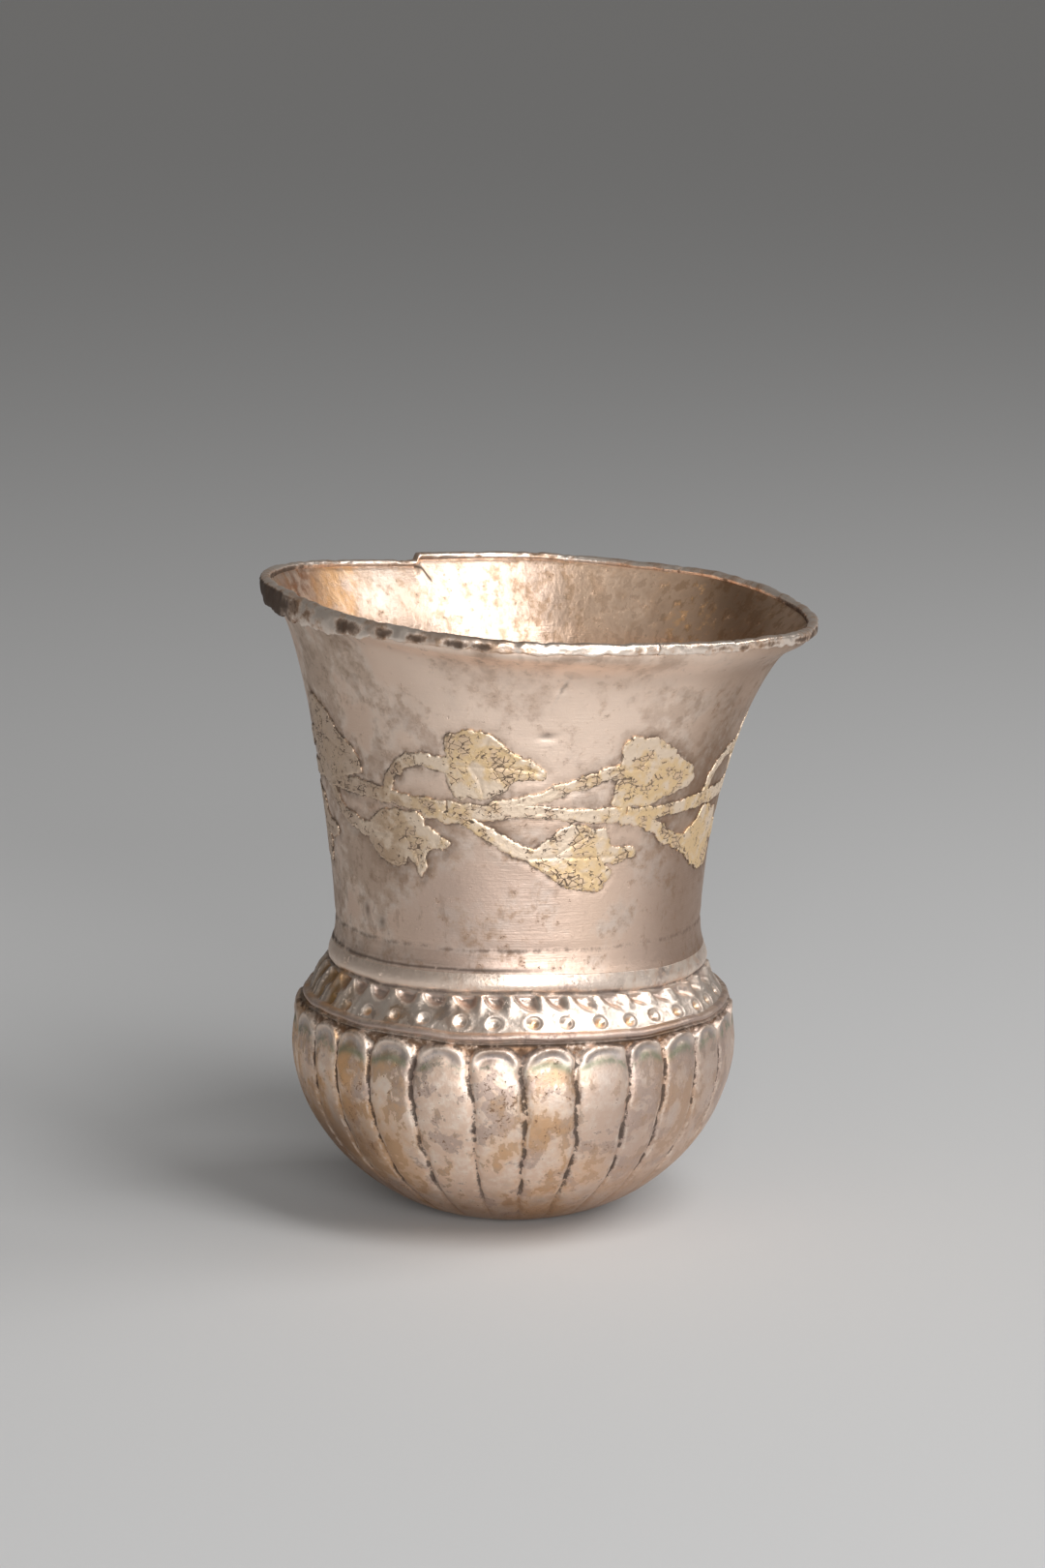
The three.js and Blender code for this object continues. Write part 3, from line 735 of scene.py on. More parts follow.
def foil_finish():
    """Pale worn gold foil, pitted, with ragged raised edges and dark incised veins."""
    material, graph, place = new_finish("gold foil")
    inset = noted(graph, "inset")
    vein = noted(graph, "vein")
    clouds = place.noise(60.0, 4.0, 0.6)
    patches = place.noise(240.0, 5.0, 0.62)
    mottle = place.noise(700.0, 5.0, 0.65)
    grain = place.noise(2300.0, 3.0, 0.6)
    crackle = graph.node("ShaderNodeTexVoronoi", {"feature": "DISTANCE_TO_EDGE"},
                         {"Vector": place.stretched(1.0, 1.0, 1.5), "Scale": 620.0})
    east = place.east()

    golden = (clouds + (patches - 0.5) * 0.6).rise(0.42, 0.56)
    coat = Coat(graph, CREAM)
    coat.lay(golden * 0.8, PALE_GOLD)
    coat.lay((patches + (mottle - 0.5) * 0.6).rise(0.54, 0.62) * 0.5, PINK_GOLD)
    coat.lay(east.near(-23.5, 3.0) * patches.rise(0.38, 0.52) * 0.7, OCHRE_BROWN)
    rubbed = (patches * 0.6 + clouds * 0.5 - east * 0.016).rise(0.71, 1.04)
    coat.lay(rubbed * 0.85, WALL_TONE)
    # Painted highlight: cream along the raised border, where it catches the light
    border = inset.near(0.3, 0.24) * mottle.rise(0.44, 0.58)
    coat.lay(border * 0.5, CREAM)
    trough = inset.near(0.75, 0.22) * (mottle + patches).rise(0.98, 1.12)
    coat.lay(trough * 0.4, BROWN)
    pits = (grain * 0.5 + mottle * 0.6).rise(0.645, 0.69)
    cracks = crackle.fall(0.02, 0.06) * (mottle * 0.5 + patches * 0.6).rise(0.565, 0.61)
    cut = (vein + (mottle - 0.5) * 0.3).fall(0.03, 0.2) * (mottle + patches).rise(0.94, 1.12) * 0.8
    edge = inset.fall(0.06, 0.26) * (mottle + patches).rise(0.96, 1.08)
    dark = pits.most(cracks, cut, edge)
    coat.lay(dark * 0.85, UMBER)
    roughness = 0.42 + mottle * 0.16 + dark * 0.3
    metallic = 0.9 - dark * 0.6
    height_map = mottle * 0.7 + patches * 0.4 - pits * 0.8 - cracks * 0.6 - cut * 0.7
    close_finish(coat, roughness, metallic, height_map, 0.2)
    return material


def solder_finish():
    """Dull grey-brown solder."""
    material, graph, place = new_finish("dull solder")
    patches = place.noise(260.0, 4.0)
    mottle = place.noise(900.0, 3.0)
    coat = Coat(graph, MAUVE)
    coat.lay(patches.rise(0.4, 0.65), BROWN)
    close_finish(coat, 0.45 + mottle * 0.2, 0.8 - patches * 0.2, mottle + patches, 0.15)
    return material


# The bowl
def warped(turn, measured, first, step, spread, seed):
    """Turns on which the units, which were set by hand, come out even.

    The measured units stand where the photo shows them, and the others stray by chance.
    """
    luck = np.random.default_rng(seed)
    count = round(360 / step)
    numbers = np.arange(-count, 2 * count)
    offsets = luck.uniform(-spread, spread, count)
    places = first + step * numbers + offsets[numbers % count]
    for number, at in measured.items():
        for round_of in (-count, 0, count):
            index = number + round_of + count
            if 0 <= index < len(places):
                places[index] = at + round_of * step
    return np.interp(turn, places, numbers * step)


# Where the photo shows the grooves between tongues and the dots of the band, by their numbers
TONGUE_GROOVES = dict(zip(range(-4, 6), (-52.1, -39.5, -26.1, -11.0, 2.6, 16.4, 30.9, 41.8, 55.1, 67.6)))
OVOLO_DOTS = dict(zip(range(-7, 8), (-61.4, -53.2, -44.5, -34.1, -24.9, -13.9, -5.2, 5.7, 14.9, 24.3,
                                     33.8, 42.7, 51.9, 62.5, 70.2)))

# Radii and heights of the bowl's section above its round side, and inside
TONGUE_TOPS = ((BOWL_RADIUS, WIDEST), (42.15, 35.3), (ARCH_TOP_RADIUS, ARCH_TOP), (41.4, 42.0))
RIDGE_WIRE = ((40.7, 42.05), (40.4, 42.1), (40.35, 42.2), (40.5, 42.28), (40.85, 42.4), (41.0, 42.7),
              (41.03, 43.05), (40.9, 43.4), (40.55, 43.66), (40.05, 43.78))
BAND = ((39.8, 43.8), (37.8, 47.1), (BAND_TOP_RADIUS, BAND_TOP))
BAND_GROOVE = ((35.62, 50.4), (35.4, 50.52), (35.38, 50.68), (35.5, 50.85), (35.68, 51.1))
ROLL = ((35.78, 51.4), (35.9, 52.0), (35.85, 52.7), (35.7, 53.3), (35.52, 53.9), (35.43, 54.2))
COLLAR = ((35.41, 54.25), (35.38, 54.28), (COLLAR_RADIUS + 0.9, 54.25), (COLLAR_RADIUS, 54.6),
          (COLLAR_RADIUS, 56.5), (COLLAR_RADIUS, COLLAR_TOP))
THROAT = ((THROAT_RADIUS, COLLAR_TOP), (THROAT_RADIUS, 53.0))
SHOULDER = ((34.4, 49.3), (38.8, 42.5), (39.2, 37.3))


def bowl_rule(graph, sizes):
    turn, height, side = notes_of(graph, "turn", "height", "side")
    place = place_of(graph)
    across, number, inset = tongue_fields(place, turn, height)
    luck = (number + sizes["Seed"]).chance()
    on_tongues = height.fall(41.8, 42.1)
    fade = height.rise(0.0, 9.0)
    groove = (across ** 5.0 * 0.8 + across.rise(0.86, 1.0) * 0.35) * fade * sizes["Groove depth"]
    arching = height.rise(36.2, 38.8)
    spandrel = inset.fall(-0.45, 0.2) * height.rise(37.0, 38.2) * sizes["Arch depth"]
    lip = inset.near(0.75, 0.45) * arching * (0.24 + luck * 0.14)
    spoon = inset.near(2.5, 1.1) * arching * (0.28 + luck * 0.2)
    tongues = (lip - spoon - spandrel - groove * height.fall(39.0, 41.0)) * on_tongues
    unit_across, hung, slope, dot, oval, unit_luck = ovolo_fields(turn, height)
    on_band = height.rise(43.75, 44.2) * height.fall(50.0, 50.4)
    dish = dot.fall(0.3, 1.5) * (0.75 + unit_luck * 0.35) * sizes["Dot depth"]
    sunk = oval.fall(0.45, 1.08) * 0.92
    web = hung.math("ABSOLUTE").rise(1.7, 3.1) * slope.rise(2.4, 5.6) * 0.38
    collar = dot.near(1.8, 0.35) * 0.12
    left = place.east().fall(*TORN_SIDE)
    tear = (unit_across - 0.4).math("ABSOLUTE").fall(0.8, 2.3) * left * 0.5
    band = (web + collar - dish - sunk - tear) * on_band
    swell = (place.noise(60.0, 2.0) - 0.5) * 0.35 * height.rise(0.5, 6.0)
    return (tongues + band) * side.rise(-0.5, 0.5) + swell * side


def chased_bowl(finish):
    flat = spaced(((0, 0), (FLAT_RADIUS, 0)), 1.6)
    round_side = spaced(bowl_side(BOWL_RADIUS, 0, 200), 1.0)[1:]
    outside = np.vstack([flat, round_side, spaced(TONGUE_TOPS, 0.3)[1:], RIDGE_WIRE, spaced(BAND, 0.24),
                         BAND_GROOVE, spaced(ROLL, 0.3), COLLAR])
    inner_side = spaced(bowl_side(BOWL_INSIDE, SHEET, 60)[::-1], 2.6)[1:]
    inside = np.vstack([THROAT, spaced(SHOULDER, 1.6), inner_side, ((4.5, SHEET), (0, SHEET))])
    profile = np.vstack([outside, inside])
    side = np.where(np.arange(len(profile)) < len(outside), 1.0, -1.0)
    turn = np.linspace(-180, 180, COLUMNS, endpoint=False)
    by_tongue = warped(turn, TONGUE_GROOVES, 2.6, TONGUE_TURN, 0.9, 5)
    by_ovolo = warped(turn, OVOLO_DOTS, 5.2, OVOLO_TURN, 0.7, 8)
    on_band = ease(profile[:, 1], 42.6, 43.4)[:, None]
    turns = by_tongue * (1 - on_band) + by_ovolo * on_band
    # The ridge and the groove below the roll waver up and down by parts of a millimetre
    wobble = 0.2 * np.sin(np.radians(turn * 5 + 40)) + 0.12 * np.sin(np.radians(turn * 13 + 110))
    wobble += 0.1 * np.sin(np.radians(turn * 27 + 10))
    near_ridge = bump(profile[:, 1], RIDGE, 1.1) + 0.7 * bump(profile[:, 1], 50.6, 0.8)
    # The ridge is pressed in at the left, and the top of the band is swelled at the right
    pressed = bump(profile[:, 1:], 43.5, 2.4) * rise_at(turn, -92, 32)
    pressed -= 0.7 * bump(profile[:, 1:], 50.9, 1.9) * rise_at(turn, 95, 45)
    radius = profile[:, :1] - pressed * (side > 0)[:, None]
    places = bent(radius, turn[None, :], np.broadcast_to(profile[:, 1:], turns.shape))
    places[..., 2] += (near_ridge * (side > 0))[:, None] * wobble
    mesh = shell("chased_bowl", profile[:, 1], turns, places, turn=turns, height=profile[:, 1:],
                 side=side[:, None], inside=(side[:, None] < 0) * 1.0)
    sizes = {"Groove depth": 0.8, "Arch depth": 0.85, "Dot depth": 0.78, "Seed": 3.0}
    tree = relief_tree("chased tongues and ovolos", sizes, bowl_rule)
    return piece("chased_bowl", mesh, tree, sizes, finish, "bowl_silver", "bowl")


# The vine, drawn flat: millimetres along the neck from where a piece starts, and above the stem's middle
BROAD_LEAF = ((0.5, 8.9), (-0.3, 12.2), (0.1, 13.9), (2.2, 14.7), (5.3, 15.5), (7.9, 14.7), (10.7, 12.3),
              (13.5, 10.7), (15.6, 9.4), (17.7, 7.8), (16.7, 6.4), (12.3, 6.0), (10.2, 3.7), (7.1, 2.1),
              (3.5, 2.1), (1.4, 2.6), (0.0, 5.9))
BROAD_STALK = ((-12.8, 1.2), (-10.9, 5.3), (-8.1, 7.7), (-4.5, 8.5), (1.5, 8.0))
BROAD_VEINS = (((0.5, 8.2), (6.0, 8.3), (11.5, 8.6), (16.5, 7.9)), ((4.0, 8.4), (6.0, 11.0), (7.2, 13.2)),
               ((8.0, 8.6), (9.6, 10.6)), ((4.5, 8.2), (6.0, 5.8), (6.6, 3.6)), ((8.5, 8.3), (9.8, 6.2)))
NARROW_LEAF = ((-2.8, 9.0), (-3.1, 12.1), (-1.9, 15.1), (1.1, 14.7), (4.5, 13.8), (9.0, 10.4), (13.4, 7.9),
               (15.2, 5.4), (13.7, 3.4), (9.3, 2.2), (5.0, 0.9), (0.0, 0.7), (-3.4, 1.6), (-3.0, 4.6))
NARROW_STALK = ((-25.0, 1.0), (-20.0, 1.9), (-16.4, 3.2), (-13.0, 4.6), (-9.1, 6.1), (-4.9, 7.6),
                (-1.0, 7.9))
NARROW_VEINS = (((-2.0, 8.2), (3.5, 8.2), (9.0, 7.0), (14.0, 5.4)), ((1.0, 8.3), (2.6, 10.6), (3.2, 12.6)),
                ((2.0, 8.0), (3.6, 5.6), (4.2, 3.4)))
LOBED_LEAF = ((0.1, -8.3), (2.7, -5.6), (5.0, -4.2), (7.5, -2.0), (10.7, -2.5), (13.0, -3.4), (14.5, -3.1),
              (15.5, -4.9), (16.2, -6.5), (20.4, -7.5), (21.9, -8.9), (20.6, -9.9), (17.9, -10.5),
              (15.2, -10.4), (16.9, -11.8), (15.9, -13.9), (15.0, -15.5), (11.7, -15.2), (9.1, -15.1),
              (6.2, -13.8), (2.9, -11.3), (0.0, -9.9))
LOBED_STALK = ((-19.2, -1.0), (-12.4, -2.1), (-9.1, -3.4), (-4.6, -6.2), (1.0, -8.6))
LOBED_VEINS = (((0.5, -8.9), (6.0, -8.6), (12.0, -8.9), (19.5, -8.9)),
               ((5.0, -8.6), (8.5, -6.2), (11.5, -4.6)), ((6.0, -8.8), (9.5, -11.2), (13.0, -13.4)))
CURLED_LEAF = ((1.0, -4.2), (3.9, -2.4), (8.0, -1.5), (11.1, -1.5), (13.6, -1.9), (14.0, -3.6),
               (15.5, -4.7), (17.9, -6.0), (19.1, -6.8), (17.4, -8.2), (14.2, -8.9), (13.8, -11.5),
               (12.6, -13.7), (11.0, -11.6), (9.7, -9.8), (8.8, -12.0), (4.3, -12.1), (1.7, -10.3),
               (-0.2, -8.2))
CURLED_STALK = ((-14.2, 1.0), (-11.4, -0.8), (-8.8, -3.8), (-6.1, -5.2), (-2.6, -6.1), (1.0, -6.7))
CURLED_VEINS = (((0.8, -6.8), (6.0, -6.4), (11.5, -6.4), (17.0, -6.9)),
                ((5.0, -6.4), (8.0, -4.4), (11.0, -3.2)), ((9.5, -6.6), (11.6, -9.0), (12.4, -12.0)))
STEM_RUN = ((-55.0, 0.6), (-45.0, 0.8), (-34.8, 1.4), (-29.3, 1.0), (-20.4, 1.0), (-15.6, 0.9), (-9.9, 0.3),
            (-3.9, 0.3), (0.8, 0.0), (8.4, -0.1), (13.6, 0.4), (17.7, 0.1), (24.3, -0.4), (31.7, -0.7),
            (37.2, -1.0), (41.8, -0.8), (46.7, -0.5), (55.5, 0.0), (75.0, 0.5), (95.0, -0.3), (120.0, 0.4),
            (150.0, 0.0), (180.6, 0.6))

# Which of the seven repeats have the narrow leaf above the stem, and the curled leaf below it
NARROW_REPEATS, CURLED_REPEATS = (1, 4, 6), (2, 4, 6)

# Where each kind of piece lies on the flat: first and last along, lowest and highest
STEM_LENGTH = math.radians(REPEAT_TURN) * FLAT_SCALE
STEM_REACH = (-0.5, STEM_LENGTH + 0.5, -4.0, 4.5)
UPPER_REACH = (-27.0, 19.5, 0.0, 17.0)
LOWER_REACH = (-21.5, 23.5, -17.0, 2.2)
STEM_SEED, UPPER_SEED, LOWER_SEED = 40, 60, 80


def outline_distance(outline, along, up):
    """Distance from a closed outline, negative inside it."""
    path = curve_through(np.vstack([outline, outline[:1]]), 3)
    return path_distance(path, along, up) * np.where(encloses(path, along, up), -1, 1)


def path_distance(path, along, up):
    path = np.asarray(path, dtype=float)
    nearest = np.full(along.shape, 1e9)
    for start, stop in zip(path[:-1], path[1:]):
        edge = stop - start
        share = ((along - start[0]) * edge[0] + (up - start[1]) * edge[1]) / max(edge @ edge, 1e-9)
        share = np.clip(share, 0, 1)
        away = np.hypot(along - start[0] - share * edge[0], up - start[1] - share * edge[1])
        nearest = np.minimum(nearest, away)
    return nearest


def encloses(path, along, up):
    crossed = np.zeros(along.shape, dtype=bool)
    for start, stop in zip(path[:-1], path[1:]):
        spans = (start[1] > up) != (stop[1] > up)
        rise = stop[1] - start[1] if stop[1] != start[1] else 1e-9
        crossed ^= spans & (along < start[0] + (up - start[1]) * (stop[0] - start[0]) / rise)
    return crossed


def ragged(along, up, seed, size=0.2):
    """A smooth unevenness of hand work."""
    luck = np.random.default_rng(seed)
    total = np.zeros(np.shape(along))
    for wave in np.geomspace(0.8, 6.0, 10):
        angle, phase = luck.uniform(0, 2 * np.pi, 2)
        toward = np.cos(angle) * along + np.sin(angle) * up
        total += np.sin(toward * 2 * np.pi / wave + phase) * wave ** 0.6
    return total * size / 5.0


def leaf_distance(leaf, stalk, seed):
    """Distance from a leaf and its stalk, with a ragged edge."""
    def distance(along, up):
        width = 1.1 + 0.3 * ease(along, stalk[0][0] + 3, -2)
        stem = path_distance(curve_through(stalk, 4), along, up) - width
        return np.minimum(outline_distance(np.array(leaf), along, up), stem) + ragged(along, up, seed, 0.22)
    return distance


def stem_distance(first, last, seed):
    """Distance from a length of the stem, from first to last along the whole run."""
    def distance(along, up):
        middle = np.interp(along + first, *np.array(STEM_RUN).T)
        sides = np.abs(up - middle) - STEM_WIDTH / 2 * (1.22 + 0.12 * np.sin((along + first) / 4.1))
        ends = np.maximum(-along + 0.12, along - (last - first) + 0.12)
        return np.maximum(sides + ragged(along, up, seed, 0.16), ends)
    return distance


def foil_rule(graph, sizes):
    inset, vein, upper = notes_of(graph, "inset", "vein", "upper")
    place = place_of(graph)
    border = inset.near(0.42, 0.34) * sizes["Border height"]
    cut = vein.fall(0.1, 0.42) * sizes["Vein depth"]
    pits = place.noise(800.0, 3.0).rise(0.55, 0.72) * 0.08
    rise = inset.rise(0.0, 0.5) * 0.07
    swell = (place.noise(260.0 + sizes["Seed"], 2.0) - 0.5) * 0.1
    return (border + rise + swell - cut - pits) * upper


def foil_mesh(name, distance, veins, start_turn, reach):
    """A piece of foil, from the distance to its flat outline.

    It is a flat grid whose points near the outline are moved onto it, bent round the neck, with a lower
    side just under the neck's surface.
    """
    first, last, lowest, highest = reach
    along, up = np.meshgrid(np.arange(first, last, FOIL_STEP), np.arange(lowest, highest, FOIL_STEP),
                            indexing="ij")
    away = distance(along, up)
    small = 0.04
    slope_along = (distance(along + small, up) - distance(along - small, up)) / (2 * small)
    slope_up = (distance(along, up + small) - distance(along, up - small)) / (2 * small)
    steep = np.maximum(slope_along ** 2 + slope_up ** 2, 0.2)
    near = np.abs(away) < FOIL_SNAP
    used = away < FOIL_SNAP
    along = np.where(near, along - away * slope_along / steep, along)
    up = np.where(near, up - away * slope_up / steep, up)
    inset = np.where(near, 0.0, -away)
    whole = used[:-1, :-1] & used[1:, :-1] & used[1:, 1:] & used[:-1, 1:]
    number = np.arange(along.size).reshape(along.shape)
    corners = (number[:-1, :-1], number[1:, :-1], number[1:, 1:], number[:-1, 1:])
    faces = np.stack([corner[whole] for corner in corners], axis=-1)
    kept, faces = np.unique(faces, return_inverse=True)
    faces = faces.reshape(-1, 4)
    along, up, inset = along.ravel()[kept], up.ravel()[kept], inset.ravel()[kept]
    vein = np.full(along.shape, NO_VEIN)
    for line in veins:
        vein = np.minimum(vein, path_distance(curve_through(line, 4), along, up))
    turn = start_turn + np.degrees(along / FLAT_SCALE)
    height = STEM_HEIGHT + up
    radius = neck_radius(height)
    tops = bent(radius + FOIL_PROUD, turn, height)
    bottoms = bent(radius - FOIL_SUNK, turn, height)
    edges = {}
    for face in faces.tolist():
        edges.update(dict.fromkeys(zip(face, face[1:] + face[:1])))
    rim = [(start, stop) for start, stop in edges if (stop, start) not in edges]
    count = len(along)
    polygons = faces.tolist() + (faces[:, ::-1] + count).tolist()
    polygons += [(stop, start, start + count, stop + count) for start, stop in rim]
    mesh = bpy.data.meshes.new(name)
    mesh.from_pydata((np.vstack([tops, bottoms]) * MM).tolist(), [], polygons)
    keep_note(mesh, "inset", np.concatenate([inset, np.zeros(count)]))
    keep_note(mesh, "vein", np.concatenate([vein, np.full(count, NO_VEIN)]))
    keep_note(mesh, "upper", np.concatenate([np.ones(count), np.zeros(count)]))
    mesh.validate()
    return mesh


def vine_pieces():
    """Each foil piece's node, distance from its outline, veins, first turn and flat reach."""
    found = []
    for index in range(REPEATS):
        turn = VINE_FIRST_TURN + index * REPEAT_TURN
        turn = turn - 360 if turn > 180 else turn
        first = math.radians(turn - VINE_FIRST_TURN) * FLAT_SCALE
        distance = stem_distance(first, first + STEM_LENGTH, STEM_SEED + index)
        found.append((f"vine_stem_{index + 1}", distance, (), turn, STEM_REACH))
        leaf, stalk, veins = BROAD_LEAF, BROAD_STALK, BROAD_VEINS
        if index in NARROW_REPEATS:
            leaf, stalk, veins = NARROW_LEAF, NARROW_STALK, NARROW_VEINS
        distance = leaf_distance(leaf, stalk, UPPER_SEED + index)
        found.append((f"upper_leaf_{index + 1}", distance, veins, turn, UPPER_REACH))
        leaf, stalk, veins = LOBED_LEAF, LOBED_STALK, LOBED_VEINS
        if index in CURLED_REPEATS:
            leaf, stalk, veins = CURLED_LEAF, CURLED_STALK, CURLED_VEINS
        distance = leaf_distance(leaf, stalk, LOWER_SEED + index)
        turn = turn + LOWER_LAG * REPEAT_TURN
        found.append((f"lower_leaf_{index + 1}", distance, veins, turn, LOWER_REACH))
    return found


def gap_to_vine(vine, turn, height):
    """Distance from each point of the neck's outside to the nearest foil, no more than FAR_FROM_VINE."""
    gap = np.full(turn.shape, FAR_FROM_VINE)
    up = height - STEM_HEIGHT
    for _, distance, _, start, (first, last, lowest, highest) in vine:
        along = np.radians(front_turn(turn - start)) * FLAT_SCALE
        close = (along > first - FAR_FROM_VINE) & (along < last + FAR_FROM_VINE)
        close &= (up > lowest - FAR_FROM_VINE) & (up < highest + FAR_FROM_VINE)
        gap[close] = np.minimum(gap[close], distance(along[close], up[close]))
    return np.maximum(gap, 0)


# The neck

# Turn, height, half width, half height and depth of each dent, where a swelling has a depth above 0
DENTS = ((5.0, 99.2, 2.0, 0.7, -0.35), (6.5, 108.6, 1.0, 0.8, -0.35), (-33.0, 104.0, 5.0, 4.0, -0.4),
         (140.0, 106.0, 3.0, 2.2, -0.45), (150.0, 110.0, 2.0, 1.5, 0.4), (118.0, 101.0, 4.0, 3.0, -0.4),
         (-120.0, 95.0, 4.0, 5.0, 0.4), (70.0, 72.0, 4.0, 3.0, -0.3), (178.0, 90.0, 5.0, 4.0, -0.35))

# Turn, height, half width, half height and lean of each dark scar
SCARS = ((5.0, 99.4, 1.5, 0.55, 0.8), (6.9, 108.8, 0.3, 1.9, 0.35), (-2.5, 92.8, 0.2, 1.0, 0.8),
         (-46.0, 60.8, 1.1, 1.1, 0.2), (-53.0, 62.5, 0.8, 1.4, 0.0))


def neck_rule(graph, sizes):
    height, side, gap, dent = notes_of(graph, "height", "side", "vine_gap", "dent")
    place = place_of(graph)
    free = height.rise(54.4, 58.0) * height.fall(112.0, 116.0)
    swell = (place.noise(32.0 + sizes["Seed"], 2.0) - 0.5) * sizes["Swell"]
    blows = (place.noise(130.0, 2.0) - 0.5) * sizes["Blow depth"]
    lap = height.near(58.3, 0.5) * 0.14
    outline = gap.near(0.25, 0.5) * 0.16
    outside = side.rise(-0.5, 0.5)
    flutes = (place.stretched(1.0, 1.0, 0.2).noise(75.0, 2.0) - 0.5) * sizes["Flute depth"]
    worked = (swell + blows + dent) * side * free * gap.rise(0.2, 3.0)
    return worked - (lap + outline) * outside + flutes * (1.0 - outside) * free


def hammered_neck(finish, vine):
    outside = spaced(NECK_WALL, 0.64)
    inside = spaced(set_in(NECK_WALL, SHEET), 1.15)[::-1]
    # Inside, the top of the wall flares almost straight to the strip
    flare = (inside[:, 1] - FLARE_START) / (WALL_EDGE - FLARE_START)
    start = np.interp(FLARE_START, inside[::-1, 1], inside[::-1, 0])
    straight = start + (FLARE_RADIUS - start) * np.maximum(flare, 0) ** 1.2
    inside[:, 0] = np.where(flare > 0, straight, inside[:, 0])
    # The foot has a sharp edge and flares to meet the roll
    outside = np.vstack([outside[:1], outside[:1] + (0.0, 0.05), outside[1:]])
    outside[:, 0] += 0.31 * np.exp(-(outside[:, 1] - NECK_FOOT) / 1.6)
    inside[0, 1] = WALL_EDGE
    inside[-1, 1] = NECK_FOOT
    profile = np.vstack([outside, inside])
    side = np.where(np.arange(len(profile)) < len(outside), 1.0, -1.0)
    turn = np.linspace(-180, 180, COLUMNS, endpoint=False)
    height = np.broadcast_to(profile[:, 1:], (len(profile), COLUMNS))
    turns = np.broadcast_to(turn, height.shape)
    gap = np.full(height.shape, FAR_FROM_VINE)
    gap[:len(outside)] = gap_to_vine(vine, turns[:len(outside)], height[:len(outside)])
    dent = np.zeros(height.shape)
    for at, up, wide, tall, depth in DENTS:
        across = np.radians(front_turn(turns - at)) * profile[:, :1]
        dent += depth * mark(across, height - up, wide, tall)
    scar = np.zeros(height.shape)
    for at, up, wide, tall, lean in SCARS:
        across = np.radians(turns - at) * profile[:, :1] - lean * (height - up)
        scar = np.maximum(scar, mark(across, height - up, wide, tall) * (side[:, None] > 0))
    lifted = height + read_off(RIM_LIFTS, turns) * ease(height, 112, WALL_EDGE)
    places = bent(profile[:, :1], turns, lifted)
    mesh = shell("hammered_neck", profile[:, 1], turns, places, looped=True, height=height,
                 side=side[:, None], inside=(side[:, None] < 0) * 1.0, vine_gap=gap, dent=dent, scar=scar)
    sizes = {"Swell": 0.55, "Blow depth": 0.14, "Flute depth": 0.5, "Seed": 1.0}
    tree = relief_tree("hammered neck", sizes, neck_rule)
    return piece("hammered_neck", mesh, tree, sizes, finish, "neck_silver", "neck")


# The strip folded over the rim

# Radii of its section, and heights from the rim
STRIP = ((51.5, -2.3), (52.65, -2.35), (RIM_RADIUS, -1.3), (52.6, -0.35), (51.9, 0.0), (51.0, -0.02),
         (50.45, -0.4), (50.45, -1.2), (50.74, -1.9), (50.95, -1.5), (50.95, -0.9), (51.5, -0.9))

# Turn, half width and darkness of each tarnished stretch
TARNISH = ((-64.3, 5.0, 1.0), (-53.0, 4.0, 0.6), (-41.1, 3.9, 1.0), (-32.0, 2.5, 0.95), (-24.9, 2.6, 0.9),
           (-16.6, 2.9, 1.0), (-11.3, 2.2, 0.95), (-3.9, 2.4, 0.45), (2.5, 2.0, 0.35), (33.0, 2.5, 0.4),
           (39.0, 2.6, 0.75), (45.0, 1.8, 0.7), (53.4, 4.6, 0.75), (66.9, 5.2, 0.9), (78.0, 5.0, 0.7))
LEFT_END = ((-128, 0), (-108, 1), (-66, 1), (-50, 0))
RIGHT_END = ((60, 0), (78, 0.8), (110, 0.8), (125, 0))


def binding_rule(graph, sizes):
    hollow, outer = notes_of(graph, "hollow", "outer")
    place = place_of(graph)
    ripple = (place.noise(240.0 + sizes["Seed"], 3.0) - 0.5) * 0.34
    return (ripple - hollow * sizes["Dimple depth"]) * outer


